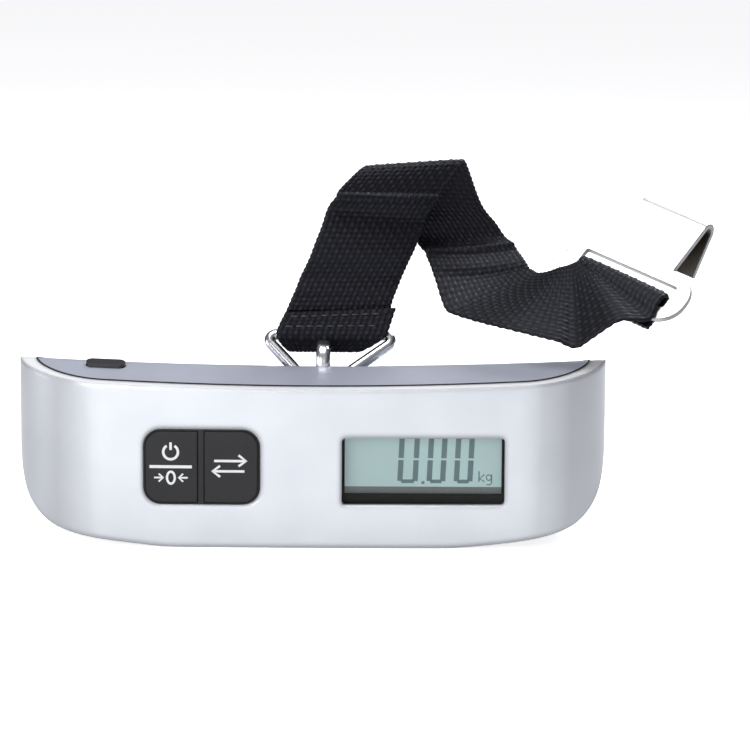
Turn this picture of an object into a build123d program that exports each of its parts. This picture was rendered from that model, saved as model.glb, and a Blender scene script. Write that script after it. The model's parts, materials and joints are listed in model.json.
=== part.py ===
"""Hand-held digital luggage scale: a bar-shaped housing that is also the grip, with two keys and a display
on its front, a load cell inside, and an eye on top that carries a triangular ring, a webbing strap and a
sheet-metal hook. Millimetres. +X runs along the bar, -Y is the front, +Z is up. The origin is the middle of
the base, on the face the scale stands on."""
from build123d import *
from math import sin, cos, tan, radians
import os

os.makedirs("parts", exist_ok=True)

# ------------------------------------------------------------------ driving dimensions
BODY_HALF_LEN = 70.4        # half the bar's length
BODY_HALF_DEP = 15.0        # half its depth
PLAN_FLAT = 50.0            # half-length of the gently bowed long sides
PLAN_BOW = 0.8              # how far the long sides bow
CREST_Y = -1.0              # the crease that runs along the top
CREST_Z = 41.7              # its height at mid-length
CREST_R = 5.0               # rounding of the crease
SLOPE_FRONT = 0.255         # fall of the top towards the front, per mm
SLOPE_REAR = 0.222          # and towards the rear
SADDLE_R = 1290.0           # lengthwise hollow of the top
SADDLE_HALF_ARC = 4.6       # degrees swept either side of mid-length, past the bar's ends
WALL = 2.0                  # housing wall
SPLIT_Y = 2.0               # front and rear shells meet here
SPLIT_GAP = 0.06            # each shell stops this far short of the split
BOSS_REACH = 13.2           # depth, front and rear, at which bosses and posts run into the wall
OUTSIDE_Y = 20.0            # clear of the rear face; cuts from the rear start here
DECK_HALF_LEN, DECK_HALF_DEP = 66.6, 12.8   # opening in the rim that the deck cover fills
DECK_GAP = 0.42             # seam around the deck cover, filled by the gasket
GASKET_LAP = 0.03           # gap left on each side of the gasket

KEY_X0, KEY_X1 = -40.1, -12.3      # key block
KEY_Z0, KEY_Z1 = 10.4, 28.6
KEY_R = 4.2
KEY_MARGIN = 0.45                  # frame border around the keys
KEY_GAP = 0.12                     # clearance around each cap
KEY_FLANGE_Y = -11.22              # rear face of the key flanges, where the plungers touch
DIVIDER_X0, DIVIDER_X1 = -27.1, -25.6

WIN_X0, WIN_X1 = 7.1, 45.9         # display window
WIN_Z0, WIN_Z1 = 10.4, 26.7
WIN_R = 1.0

PCB_Y0, PCB_Y1 = -7.2, -6.0        # circuit board, front and rear faces
PCB_X0, PCB_X1 = -48.0, 52.4
PCB_Z0, PCB_Z1 = 9.2, 31.0

CELL = (-42.0, 19.3)               # coin cell centre (x, z); the cell is 20 mm by 3.2 mm
CELL_Y0, CELL_T, CELL_R = 7.9, 3.2, 10.0
HOLDER_Y0, HOLDER_Y1 = 4.9, 11.1   # battery holder, front and rear faces
POCKET_Y = 7.0                     # floor of the holder's pocket
DOOR_X0, DOOR_X1 = -53.0, -31.0    # battery door opening in the rear shell
DOOR_Z0, DOOR_Z1 = 7.6, 30.4
DOOR_AXIS = (13.2, 8.6)            # hinge axis (y, z)
DOOR_CLEAR = 0.15
PIN_R = 0.5
BUTTON = (-49.6, -3.5)             # door release button (x, y)
BUTTON_LEN, BUTTON_WID, BUTTON_RISE = 9.4, 3.2, 0.85

EYE = (2.4, 4.6)                   # eye and its stem (x, y)
EYE_X, EYE_Y = EYE
EYE_ROD = 3.5
EYE_HOLE_W = 3.8
EYE_HOLE_Z0, EYE_HOLE_Z1 = 35.3, 43.5
STEM_R = 2.5
STEM_HOLE_R = STEM_R + 0.05
BUSH_R = 4.0
WELL_X0, WELL_X1 = -10.0, 18.5     # recess in the deck around the eye
WELL_Y0, WELL_Y1 = -1.0, 10.4
WELL_FLOOR = 31.5
WELL_CORNER = 4.2
WELL_WALL = 1.2
WELL_UNDER = WELL_FLOOR - 1.3      # underside of the well's floor

BEAM_X0, BEAM_X1 = -8.0, 52.0      # load cell beam, 12 mm square
BEAM_Z0, BEAM_Z1 = 15.0, 27.0
BEAM_HALF_Y = 6.0
BORE_X = (18.0, 26.0)              # twin bores of the sensing section, under the strain gauges
BRACKET_X, BRACKET_W, BRACKET_Z = 42.0, 19.0, 13.0   # bracket centre, width and underside

WIRE_R = 1.4                       # ring wire
RING_PIVOT_Z = 37.05               # wire axis at the lowest point of the ring
RING_LEAN = radians(33.0)          # the ring leans back, which leaves the strap's loop behind the eye
RING_REACH = 12.04                 # from the lowest wire axis to the bar's axis, in the ring's own plane
BAR_Y = EYE_Y + RING_REACH * sin(RING_LEAN)
BAR_Z = RING_PIVOT_Z + RING_REACH * cos(RING_LEAN)
STRAP_W, STRAP_T = 25.0, 1.4

# housing screws: centre (x, z), front end of the boss, rear end of the boss, seat of the head (y)
HOUSING_SCREWS = [
    ((-62.0, 24.0), -7.2, 7.6, 5.5),
    ((62.0, 24.0), -7.2, 7.6, 5.5),
    ((-24.0, 5.6), -BOSS_REACH, BOSS_REACH, 9.0),
    ((30.0, 5.6), -BOSS_REACH, BOSS_REACH, 9.0),
]
BOARD_SCREWS = [(-45.8, 28.0), (-3.0, 12.4), (-3.0, 28.0), (50.2, 12.4)]   # (x, z)
BRACKET_SCREWS = [(37.0, 25.0), (48.5, 25.0)]                              # (x, z)
COUNTERSINK_Y = 13.6                                                       # seat of their heads
BEAM_SCREWS = [(38.5, EYE_Y), (47.5, EYE_Y)]                               # (x, y)
BOSS_R, POST_R = 2.75, 2.0

# lower right corner of the bar seen from the front (x, z), from the flat base to the end
CORNER_PROFILE = [
    (30.0, 0.0), (39.0, 0.45), (48.8, 1.55), (53.6, 2.3), (58.4, 3.4), (63.2, 5.4), (66.2, 8.0),
    (68.2, 11.0), (69.6, 15.5), (70.25, 21.0), (70.4, 27.0),
]


# ------------------------------------------------------------------ helpers
def save(name, part):
    part.label = name
    export_step(part, f"parts/{name}.step")


def centre_size(low, high):
    return (low + high) / 2, high - low


def upright(y):
    """Vertical plane at depth y: sketch x is +X, sketch y is +Z, extrusions run towards -Y, the front."""
    return Plane.XZ.offset(-y)


def rod(plane, centre, radius, length):
    with BuildPart() as part:
        with BuildSketch(plane):
            with Locations(centre):
                Circle(radius)
        extrude(amount=length)
    return part.part


def block(plane, centre, size, length, corner):
    with BuildPart() as part:
        with BuildSketch(plane):
            with Locations(centre):
                if corner:
                    RectangleRounded(*size, corner)
                else:
                    Rectangle(*size)
        extrude(amount=length)
    return part.part


def rod_x(centre, radius, left, right):
    """Round rod along X, centre given as (y, z)."""
    return rod(Plane.YZ.offset(left), centre, radius, right - left)


def rod_y(centre, radius, rear, front):
    """Round rod along Y, centre given as (x, z)."""
    return rod(upright(rear), centre, radius, rear - front)


def rod_z(centre, radius, bottom, top):
    """Round rod along Z, centre given as (x, y)."""
    return rod(Plane.XY.offset(bottom), centre, radius, top - bottom)


def block_y(centre, size, rear, front, corner=0):
    """Rectangular block, centre and size in (x, z), corners rounded about Y."""
    return block(upright(rear), centre, size, rear - front, corner)


def block_z(centre, size, bottom, top, corner=0):
    """Rectangular block, centre and size in (x, y), corners rounded about Z."""
    return block(Plane.XY.offset(bottom), centre, size, top - bottom, corner)


def slot_z(extra_len, extra_wid, bottom, top):
    """Block of the release button's round-ended outline, enlarged."""
    with BuildPart() as part:
        with BuildSketch(Plane.XY.offset(bottom)):
            with Locations(BUTTON):
                SlotOverall(BUTTON_LEN + extra_len, BUTTON_WID + extra_wid)
        extrude(amount=top - bottom)
    return part.part


def cross_y(centre, span, rear, depth):
    """Cross-shaped tool for a screw's recess."""
    with BuildPart() as part:
        with BuildSketch(upright(rear)):
            with Locations(centre):
                Rectangle(span, 0.6)
                Rectangle(0.6, span)
        extrude(amount=depth)
    return part.part


# ------------------------------------------------------------------ shared outlines
def plan_outline(half_len, half_dep):
    """The bar seen from above: two bowed long sides joined by rounded ends."""
    side = half_dep - PLAN_BOW                  # y where the long sides end
    handle = 0.552 * (half_len - PLAN_FLAT)     # Bezier handle, tangent to the bowed side
    handle_x = PLAN_FLAT + handle
    handle_y = side - 2 * PLAN_BOW / PLAN_FLAT * handle
    end_y = 0.448 * side
    with BuildSketch(Plane.XY) as outline:
        with BuildLine():
            ThreePointArc((-PLAN_FLAT, -side), (0, -half_dep), (PLAN_FLAT, -side))
            Bezier((PLAN_FLAT, -side), (handle_x, -handle_y), (half_len, -end_y), (half_len, 0))
            Bezier((half_len, 0), (half_len, end_y), (handle_x, handle_y), (PLAN_FLAT, side))
            ThreePointArc((PLAN_FLAT, side), (0, half_dep), (-PLAN_FLAT, side))
            Bezier((-PLAN_FLAT, side), (-handle_x, handle_y), (-half_len, end_y), (-half_len, 0))
            Bezier((-half_len, 0), (-half_len, -end_y), (-handle_x, -handle_y), (-PLAN_FLAT, -side))
        make_face()
    return outline.sketch


def plan_column(half_len, half_dep):
    """The plan outline as a column taller than the bar."""
    with BuildPart() as column:
        with BuildSketch(Plane.XY.offset(-2)):
            add(plan_outline(half_len, half_dep))
        extrude(amount=60)
    return column.part


def front_column(inset):
    """The bar seen from the front: flat base, corners that sweep up to near-vertical ends."""
    top = 60
    scale_x, scale_z = 1 - inset / BODY_HALF_LEN, 1 - inset / 40.0
    right = [(x * scale_x, inset + z * scale_z) for x, z in CORNER_PROFILE]
    left = [(-x, z) for x, z in reversed(right)]
    half_len = BODY_HALF_LEN * scale_x
    with BuildPart() as column:
        with BuildSketch(Plane.XZ):
            with BuildLine():
                Line(left[-1], right[0])
                Spline(*right, tangents=[(1, 0), (0, 1)])
                Line(right[-1], (half_len, top))
                Line((half_len, top), (-half_len, top))
                Line((-half_len, top), left[0])
                Spline(*left, tangents=[(0, -1), (1, 0)])
            make_face()
        extrude(amount=25, both=True)
    return column.part


def under_roof(lift):
    """Everything below the saddle-shaped top surface, raised by lift."""
    reach, floor = 22.0, -60
    front = (-reach, SLOPE_FRONT * (-reach - CREST_Y) + lift)
    rear = (reach, -SLOPE_REAR * (reach - CREST_Y) + lift)
    lean = radians(SADDLE_HALF_ARC)
    axis_z = CREST_Z + SADDLE_R
    section = Plane(origin=(-SADDLE_R * sin(lean), 0, axis_z - SADDLE_R * cos(lean)),
                    x_dir=(0, 1, 0), z_dir=(cos(lean), 0, -sin(lean)))
    with BuildPart() as part:
        with BuildSketch(section):
            with BuildLine():
                FilletPolyline(front, (CREST_Y, lift), rear, radius=CREST_R)
                Line(rear, (reach, floor))
                Line((reach, floor), (-reach, floor))
                Line((-reach, floor), front)
            make_face()
        revolve(axis=Axis((0, 0, axis_z), (0, -1, 0)), revolution_arc=2 * SADDLE_HALF_ARC)
    return part.part


def deck_slab(top, bottom, half_len, half_dep):
    """A slab between two heights relative to the top surface, cut to a plan outline."""
    with BuildPart() as slab:
        add(under_roof(top))
        add(under_roof(bottom), mode=Mode.SUBTRACT)
        add(plan_column(half_len, half_dep), mode=Mode.INTERSECT)
    return slab.part


# ------------------------------------------------------------------ the solid bar and its hollow
with BuildPart() as bar:
    add(front_column(0.0))
    add(plan_column(BODY_HALF_LEN, BODY_HALF_DEP), mode=Mode.INTERSECT)
    add(under_roof(0.0), mode=Mode.INTERSECT)

with BuildPart() as hollow:
    add(front_column(WALL))
    add(plan_column(BODY_HALF_LEN - WALL, BODY_HALF_DEP - WALL), mode=Mode.INTERSECT)
    add(under_roof(-3.5), mode=Mode.INTERSECT)
    # opening in the rim for the deck cover, with the groove that holds its flange
    add(deck_slab(1.0, -4.0, DECK_HALF_LEN, DECK_HALF_DEP))
    add(deck_slab(-1.4, -2.6, DECK_HALF_LEN + 1.0, DECK_HALF_DEP + 0.8))

with BuildPart() as case:
    add(bar.part)
    add(hollow.part, mode=Mode.SUBTRACT)

key_x, key_w = centre_size(KEY_X0, KEY_X1)
key_z, key_h = centre_size(KEY_Z0, KEY_Z1)
KEYS = (key_x, key_z)
win_x, win_w = centre_size(WIN_X0, WIN_X1)
win_z, win_h = centre_size(WIN_Z0, WIN_Z1)
WINDOW = (win_x, win_z)
well_x, well_w = centre_size(WELL_X0, WELL_X1)
well_y, well_h = centre_size(WELL_Y0, WELL_Y1)
WELL = (well_x, well_y)
door_x, door_w = centre_size(DOOR_X0, DOOR_X1)
door_z, door_h = centre_size(DOOR_Z0, DOOR_Z1)


# ------------------------------------------------------------------ housing
def half_case(side):
    """The case on one side of the split: -1 is the front, 1 the rear."""
    with BuildPart() as part:
        add(case.part)
        keep = block_z((0, SPLIT_Y + side * (SPLIT_GAP + 25)), (200, 50), -5, 55)
        add(keep, mode=Mode.INTERSECT)
    return part.part


with BuildPart() as front_shell:
    add(half_case(-1))
    # screw bosses that reach back to the split, and posts for the circuit board
    for centre, boss_front, boss_rear, seat in HOUSING_SCREWS:
        add(rod_y(centre, BOSS_R, SPLIT_Y - SPLIT_GAP, boss_front))
    for centre in BOARD_SCREWS:
        add(rod_y(centre, POST_R, PCB_Y0, -BOSS_REACH))
    # pilot holes
    for centre, boss_front, boss_rear, seat in HOUSING_SCREWS:
        add(rod_y(centre, 1.1, SPLIT_Y, SPLIT_Y - 9.0), mode=Mode.SUBTRACT)
    for centre in BOARD_SCREWS:
        add(rod_y(centre, 0.9, PCB_Y0, PCB_Y0 - 4.2), mode=Mode.SUBTRACT)
    # openings for the key block and the display window
    add(block_y(KEYS, (key_w, key_h), -11.0, -19.0, KEY_R), mode=Mode.SUBTRACT)
    add(block_y(WINDOW, (win_w, win_h), -11.0, -19.0, WIN_R), mode=Mode.SUBTRACT)
save("front_shell", front_shell.part)

with BuildPart() as rear_shell:
    add(half_case(1))
    for centre, boss_front, boss_rear, seat in HOUSING_SCREWS:
        add(rod_y(centre, BOSS_R, boss_rear, SPLIT_Y + SPLIT_GAP))
    for centre, boss_front, boss_rear, seat in HOUSING_SCREWS:    # shank holes and head pockets
        add(rod_y(centre, 1.5, OUTSIDE_Y, 0.0), mode=Mode.SUBTRACT)
        add(rod_y(centre, 2.35, OUTSIDE_Y, seat), mode=Mode.SUBTRACT)
    for centre in BRACKET_SCREWS:                                 # holes with recesses for the heads
        add(rod_y(centre, 1.55, OUTSIDE_Y, 10.0), mode=Mode.SUBTRACT)
        add(rod_y(centre, 2.9, OUTSIDE_Y, COUNTERSINK_Y), mode=Mode.SUBTRACT)
    # battery door opening, relieved below so that the door can swing past its lower edge
    add(block_y((door_x, door_z), (door_w, door_h), OUTSIDE_Y, 11.5), mode=Mode.SUBTRACT)
    add(block_y((door_x, DOOR_Z0 - 0.8), (door_w, 2.0), OUTSIDE_Y, 13.0), mode=Mode.SUBTRACT)
    # bores for the door's hinge pin, in the wall on both sides of the opening
    add(rod_x(DOOR_AXIS, PIN_R, DOOR_X0 - 1.6, DOOR_X1 + 1.6), mode=Mode.SUBTRACT)
save("rear_shell", rear_shell.part)

with BuildPart() as deck_cover:
    add(deck_slab(0.0, -2.0, DECK_HALF_LEN - DECK_GAP, DECK_HALF_DEP - DECK_GAP))
    add(deck_slab(-1.5, -2.5, DECK_HALF_LEN + 0.9, DECK_HALF_DEP + 0.7))   # flange in the rim's groove
    # recess around the eye: a solid block trimmed to the roof, then the hollow
    add(block_z(WELL, (well_w + 2 * WELL_WALL, well_h + 2 * WELL_WALL), WELL_UNDER, WELL_UNDER + 15.0,
                WELL_CORNER + WELL_WALL))
    add(under_roof(0.0), mode=Mode.INTERSECT)
    add(block_z(WELL, (well_w, well_h), WELL_FLOOR, WELL_FLOOR + 15.0, WELL_CORNER),
        mode=Mode.SUBTRACT)
    add(rod_z(EYE, BUSH_R, 20, 35), mode=Mode.SUBTRACT)           # seat for the guide bush
    add(slot_z(0.3, 0.3, 20, 50), mode=Mode.SUBTRACT)             # hole for the door release button
save("deck_cover", deck_cover.part)

with BuildPart() as deck_gasket:
    add(deck_slab(-0.45, -1.38, DECK_HALF_LEN - GASKET_LAP, DECK_HALF_DEP - GASKET_LAP))
    add(plan_column(DECK_HALF_LEN - DECK_GAP + GASKET_LAP, DECK_HALF_DEP - DECK_GAP + GASKET_LAP),
        mode=Mode.SUBTRACT)
save("deck_gasket", deck_gasket.part)

HOUSING_HEAD_T = 1.7
with BuildPart() as housing_screws:
    for centre, boss_front, boss_rear, seat in HOUSING_SCREWS:
        add(rod_y(centre, 2.2, seat + HOUSING_HEAD_T, seat))
        add(rod_y(centre, 1.1, seat, -5.0))
        add(cross_y(centre, 2.4, seat + HOUSING_HEAD_T, 0.9), mode=Mode.SUBTRACT)
save("housing_screws", housing_screws.part)

# ------------------------------------------------------------------ display
LENS_GAP = 0.12
with BuildPart() as window_lens:
    add(block_y(WINDOW, (win_w - 2 * LENS_GAP, win_h - 2 * LENS_GAP), -12.0, -17.0, WIN_R - 0.1))
    add(plan_column(BODY_HALF_LEN, BODY_HALF_DEP - 0.35), mode=Mode.INTERSECT)
    add(block_y(WINDOW, (win_w + 1.8, win_h + 1.8), -11.75, -12.2, 1.6))   # flange behind the wall
save("window_lens", window_lens.part)

LCD_Y0 = -11.4                                # floor of the holder's pocket, in front of the glass
HOLDER_BACK = PCB_Y0 - 0.02                   # rear face, just clear of the board
POCKET_Z, POCKET_H = win_z + 0.8, win_h - 1.4
with BuildPart() as lcd_holder:
    add(block_y(WINDOW, (win_w + 3.0, win_h + 3.4), HOLDER_BACK, HOLDER_BACK - 4.46, 1.6))
    # pocket for the glass, open to the back, then the front aperture
    add(block_y((win_x, POCKET_Z), (win_w - 0.2, POCKET_H), HOLDER_BACK, LCD_Y0), mode=Mode.SUBTRACT)
    add(block_y((win_x, win_z + 1.0), (win_w - 1.4, win_h - 2.6), LCD_Y0 + 0.2, LCD_Y0 - 2.8),
        mode=Mode.SUBTRACT)
save("lcd_holder", lcd_holder.part)

GLASS_Z0, GLASS_Z1 = POCKET_Z - POCKET_H / 2 + 0.1, POCKET_Z + POCKET_H / 2 - 0.1
GLASS_W = win_w - 0.5
LEDGE_Z = 14.0                                # lower edge of the rear glass, above the contact ledge
front_glass_z, front_glass_h = centre_size(GLASS_Z0, GLASS_Z1)
rear_glass_z, rear_glass_h = centre_size(LEDGE_Z, GLASS_Z1)
save("lcd_front_glass", block_y((win_x, front_glass_z), (GLASS_W, front_glass_h),
                                LCD_Y0 + 1.3, LCD_Y0 + 0.05))
save("lcd_rear_glass", block_y((win_x, rear_glass_z), (GLASS_W, rear_glass_h),
                               LCD_Y0 + 2.65, LCD_Y0 + 1.35))
save("zebra_connector", block_y((win_x, GLASS_Z0 + 1.0), (win_w - 2.0, 1.6),
                                HOLDER_BACK, LCD_Y0 + 1.33))

# ------------------------------------------------------------------ keys and switches
POWER_SWITCH, UNIT_SWITCH = (-33.5, key_z), (-19.2, key_z)

with BuildPart() as key_frame:
    add(block_y(KEYS, (key_w - 0.08, key_h - 0.08), -12.2, -17.2, KEY_R - 0.04))
    add(plan_column(BODY_HALF_LEN, BODY_HALF_DEP + 0.12), mode=Mode.INTERSECT)
    add(block_y(KEYS, (key_w + 4.0, key_h + 1.6), -12.1, -12.38, 2.0))     # flange behind the wall
    with BuildSketch(upright(-11.0)):                             # openings on both sides of the divider
        with Locations(KEYS):
            RectangleRounded(key_w - 2 * KEY_MARGIN, key_h - 2 * KEY_MARGIN, KEY_R - KEY_MARGIN)
        with Locations(((DIVIDER_X0 + DIVIDER_X1) / 2, key_z)):
            Rectangle(DIVIDER_X1 - DIVIDER_X0, key_h + 1, mode=Mode.SUBTRACT)
    extrude(amount=8.0, mode=Mode.SUBTRACT)
save("key_frame", key_frame.part)


def key_cap(left, right):
    """A key: cap shaped to its half of the block, a retaining flange behind the frame."""
    middle, width = centre_size(left, right)
    inset = KEY_MARGIN + KEY_GAP
    with BuildPart() as cap:
        with BuildSketch(upright(-11.9)):
            with Locations(KEYS):
                RectangleRounded(key_w - 2 * inset, key_h - 2 * inset, KEY_R - inset)
            with Locations((middle, key_z)):
                Rectangle(width - 2 * KEY_GAP, key_h + 1, mode=Mode.INTERSECT)
        extrude(amount=5.0)
        add(plan_column(BODY_HALF_LEN, BODY_HALF_DEP + 0.28), mode=Mode.INTERSECT)
        add(block_y((middle, key_z), (width, key_h + 0.6), KEY_FLANGE_Y, KEY_FLANGE_Y - 0.8, 1.0))
    return cap.part


save("power_key", key_cap(KEY_X0 + KEY_MARGIN, DIVIDER_X0))
save("unit_key", key_cap(DIVIDER_X1, KEY_X1 - KEY_MARGIN))

with BuildPart() as switch_bodies:
    for centre in (POWER_SWITCH, UNIT_SWITCH):
        add(block_y(centre, (6.0, 6.0), PCB_Y0, PCB_Y0 - 3.4, 0.5))
        add(rod_y(centre, 1.8, PCB_Y0 - 2.0, PCB_Y0 - 5.0), mode=Mode.SUBTRACT)
save("switch_bodies", switch_bodies.part)

# round plungers that touch the keys' flanges and dip into the switch bodies
save("power_switch_plunger", rod_y(POWER_SWITCH, 1.75, PCB_Y0 - 2.6, KEY_FLANGE_Y))
save("unit_switch_plunger", rod_y(UNIT_SWITCH, 1.75, PCB_Y0 - 2.6, KEY_FLANGE_Y))

# ------------------------------------------------------------------ circuit board
pcb_x, pcb_w = centre_size(PCB_X0, PCB_X1)
pcb_z, pcb_h = centre_size(PCB_Z0, PCB_Z1)
with BuildPart() as circuit_board:
    add(block_y((pcb_x, pcb_z), (pcb_w, pcb_h), PCB_Y1, PCB_Y0, 1.5))
    for centre in BOARD_SCREWS:
        add(rod_y(centre, 1.1, PCB_Y1, PCB_Y0), mode=Mode.SUBTRACT)
save("circuit_board", circuit_board.part)

with BuildPart() as controller_blob:                              # chip under its dome of black epoxy
    add(rod_y((14.0, 20.0), 4.2, PCB_Y1 + 1.2, PCB_Y1))
    fillet(controller_blob.edges().group_by(Axis.Y)[-1], radius=1.0)
save("controller_blob", controller_blob.part)

# amplifier, crystal, capacitors, resistors: x, z, width, height, thickness
COMPONENTS = [
    (-4.0, 20.0, 5.0, 6.2, 1.4), (4.5, 13.0, 6.0, 2.0, 1.4), (22.5, 24.5, 3.2, 1.6, 1.0),
    (22.5, 20.5, 3.2, 1.6, 1.0), (22.5, 16.5, 2.0, 1.2, 0.6), (-12.0, 24.0, 2.0, 1.2, 0.6),
    (-12.0, 20.0, 2.0, 1.2, 0.6), (-12.0, 16.0, 3.2, 1.6, 1.0), (6.0, 27.5, 2.0, 1.2, 0.6),
]
with BuildPart() as board_components:
    for x, z, width, height, thickness in COMPONENTS:
        add(block_y((x, z), (width, height), PCB_Y1 + thickness, PCB_Y1))
save("board_components", board_components.part)

with BuildPart() as board_screws:
    for centre in BOARD_SCREWS:
        add(rod_y(centre, 1.9, PCB_Y1 + 1.3, PCB_Y1))
        add(rod_y(centre, 0.9, PCB_Y1, PCB_Y1 - 5.0))
save("board_screws", board_screws.part)

# ------------------------------------------------------------------ battery
cell_x, cell_z = CELL
button_x, button_y = BUTTON
CONTACT_X = cell_x + 6.0                      # positive contact
SPRING_X = button_x + 0.2

with BuildPart() as battery_holder:
    add(block_y(CELL, (22.6, 21.6), HOLDER_Y1, HOLDER_Y0, 1.5))
    # round pocket, open to the door, and a slot for the positive contact
    add(rod_y(CELL, CELL_R + 0.2, HOLDER_Y1, POCKET_Y), mode=Mode.SUBTRACT)
    add(block_y((CONTACT_X, cell_z + 8.6), (4.4, 4.0), HOLDER_Y1, POCKET_Y), mode=Mode.SUBTRACT)
    add(block_y((SPRING_X, 24.4), (5.6, 1.6), HOLDER_Y0, HOLDER_Y0 - 6.0))   # ledge for the release spring
save("battery_holder", battery_holder.part)

with BuildPart() as coin_cell:
    add(rod_y(CELL, CELL_R, CELL_Y0 + CELL_T, CELL_Y0))
    chamfer(coin_cell.edges().group_by(Axis.Y)[0], length=0.5)
save("coin_cell", coin_cell.part)

with BuildPart() as battery_contact_negative:                     # leaf under the cell, with two bumps
    add(block_y(CELL, (12.0, 5.0), 7.28, 7.02))
    for offset in (-3.5, 3.5):
        add(rod_y((cell_x + offset, cell_z), 1.2, 7.86, 7.26))
save("battery_contact_negative", battery_contact_negative.part)

# clip beside the cell's rim
save("battery_contact_positive", block_y((CONTACT_X, cell_z + 9.6), (3.6, 0.4), 10.9, 7.1))

DOOR_PANEL_Z0 = 9.4
KNUCKLE_R = 0.85
axis_y, axis_z = DOOR_AXIS
panel_z, panel_h = centre_size(DOOR_PANEL_Z0, DOOR_Z1 - DOOR_CLEAR)
with BuildPart() as battery_door:
    add(bar.part)
    add(block_y((door_x, panel_z), (door_w - 2 * DOOR_CLEAR, panel_h), OUTSIDE_Y, 12.35),
        mode=Mode.INTERSECT)
    with BuildSketch(Plane.YZ.offset(DOOR_X0 + DOOR_CLEAR)):      # rounded knuckle along the lower edge
        with Locations(DOOR_AXIS):
            Circle(KNUCKLE_R)
        with Locations((axis_y, axis_z + 0.6)):
            Rectangle(2 * KNUCKLE_R, 1.2)
    extrude(amount=door_w - 2 * DOOR_CLEAR)
    add(block_y((button_x, 29.3), (3.0, 1.1), 12.5, 11.2))        # catch nose behind the top edge
    add(rod_x(DOOR_AXIS, PIN_R + 0.04, DOOR_X0, DOOR_X1), mode=Mode.SUBTRACT)
    with BuildSketch(upright(OUTSIDE_Y)):                         # thumb grooves
        with Locations((cell_x, 24.0), (cell_x, 22.4), (cell_x, 20.8)):
            SlotOverall(9.0, 0.7)
    extrude(amount=OUTSIDE_Y - 14.15, mode=Mode.SUBTRACT)
save("battery_door", battery_door.part)

save("door_hinge_pin", rod_x(DOOR_AXIS, PIN_R, DOOR_X0 - 1.5, DOOR_X1 + 1.5))

ARM_W = 3.0
ARM_Z = 32.9                                  # underside of the button's arm
with BuildPart() as door_release_button:
    add(slot_z(0, 0, 30, 50))
    add(deck_slab(BUTTON_RISE, -2.7, 80, 20), mode=Mode.INTERSECT)
    add(slot_z(1.6, 1.4, 36.9, 38.1))                             # retaining flange under the deck
    add(block_z(BUTTON, (ARM_W, 3.0), 34.0, 39.2))                # stem
    add(block_z((button_x, 3.0), (ARM_W, 16.0), ARM_Z, 34.8))     # arm that reaches back over the battery
    add(block_z((button_x, 10.3), (ARM_W, 1.4), 31.5, 33.1))      # foot above the door's catch nose
save("door_release_button", door_release_button.part)

SPRING_WIRE_R, SPRING_H = 0.24, 7.2
with BuildPart() as release_spring:
    with BuildLine():
        coil = Helix(pitch=1.5, height=SPRING_H, radius=1.6,
                     center=(SPRING_X, 2.0, ARM_Z - SPRING_WIRE_R - SPRING_H))
    with BuildSketch(Plane(origin=coil @ 0, z_dir=coil % 0)):
        Circle(SPRING_WIRE_R)
    sweep(path=coil)
save("release_spring", release_spring.part)

# ------------------------------------------------------------------ load path
beam_x, beam_len = centre_size(BEAM_X0, BEAM_X1)
beam_z = (BEAM_Z0 + BEAM_Z1) / 2
bore_mid, bore_pitch = centre_size(*BORE_X)
with BuildPart() as load_cell_beam:
    add(block_z((beam_x, EYE_Y), (beam_len, 2 * BEAM_HALF_Y), BEAM_Z0, BEAM_Z1))
    with BuildSketch(upright(EYE_Y + 10)):                        # twin bores joined by a slot: the sensing section
        with Locations(*[(x, beam_z) for x in BORE_X]):
            Circle(4.2)
        with Locations((bore_mid, beam_z)):
            Rectangle(bore_pitch, 3.0)
    extrude(amount=20, mode=Mode.SUBTRACT)
    add(rod_z(EYE, STEM_HOLE_R, 0, 40), mode=Mode.SUBTRACT)
    for centre in BEAM_SCREWS:
        add(rod_z(centre, 2.0, 0, 25), mode=Mode.SUBTRACT)
save("load_cell_beam", load_cell_beam.part)

GAUGE_T = 0.15
with BuildPart() as strain_gauges:
    for bottom in (BEAM_Z1, BEAM_Z0 - GAUGE_T):
        for x in BORE_X:
            add(block_z((x, EYE_Y), (5.0, 6.0), bottom, bottom + GAUGE_T))
save("strain_gauges", strain_gauges.part)

with BuildPart() as load_cell_bracket:                            # steel angle that ties the beam to the rear shell
    add(block_z((BRACKET_X, 5.3), (BRACKET_W, 13.2), BRACKET_Z, BEAM_Z0))
    add(block_y((BRACKET_X, 21.0), (BRACKET_W, 16.0), 11.9, 10.7))
    for centre in BEAM_SCREWS:
        add(rod_z(centre, 2.1, 0, 25), mode=Mode.SUBTRACT)
    for centre in BRACKET_SCREWS:
        add(rod_y(centre, 1.5, OUTSIDE_Y, 8.0), mode=Mode.SUBTRACT)
save("load_cell_bracket", load_cell_bracket.part)

BEAM_HEAD_Z = BRACKET_Z - 3.8                 # underside of the screw heads
with BuildPart() as load_cell_screws:
    for centre in BEAM_SCREWS:
        add(rod_z(centre, 3.5, BEAM_HEAD_Z, BRACKET_Z))
        with BuildSketch(Plane.XY.offset(BEAM_HEAD_Z)):           # hexagon socket
            with Locations(centre):
                RegularPolygon(1.7, 6)
        extrude(amount=2.0, mode=Mode.SUBTRACT)
        add(rod_z(centre, 2.0, BRACKET_Z, BRACKET_Z + 11.0))
save("load_cell_screws", load_cell_screws.part)

BRACKET_HEAD_Y = COUNTERSINK_Y + 0.4
with BuildPart() as bracket_screws:
    for centre in BRACKET_SCREWS:
        add(rod_y(centre, 2.8, BRACKET_HEAD_Y, COUNTERSINK_Y))
        add(rod_y(centre, 1.5, COUNTERSINK_Y, 10.85))
        add(cross_y(centre, 2.6, BRACKET_HEAD_Y, 0.3), mode=Mode.SUBTRACT)
save("bracket_screws", bracket_screws.part)

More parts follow.
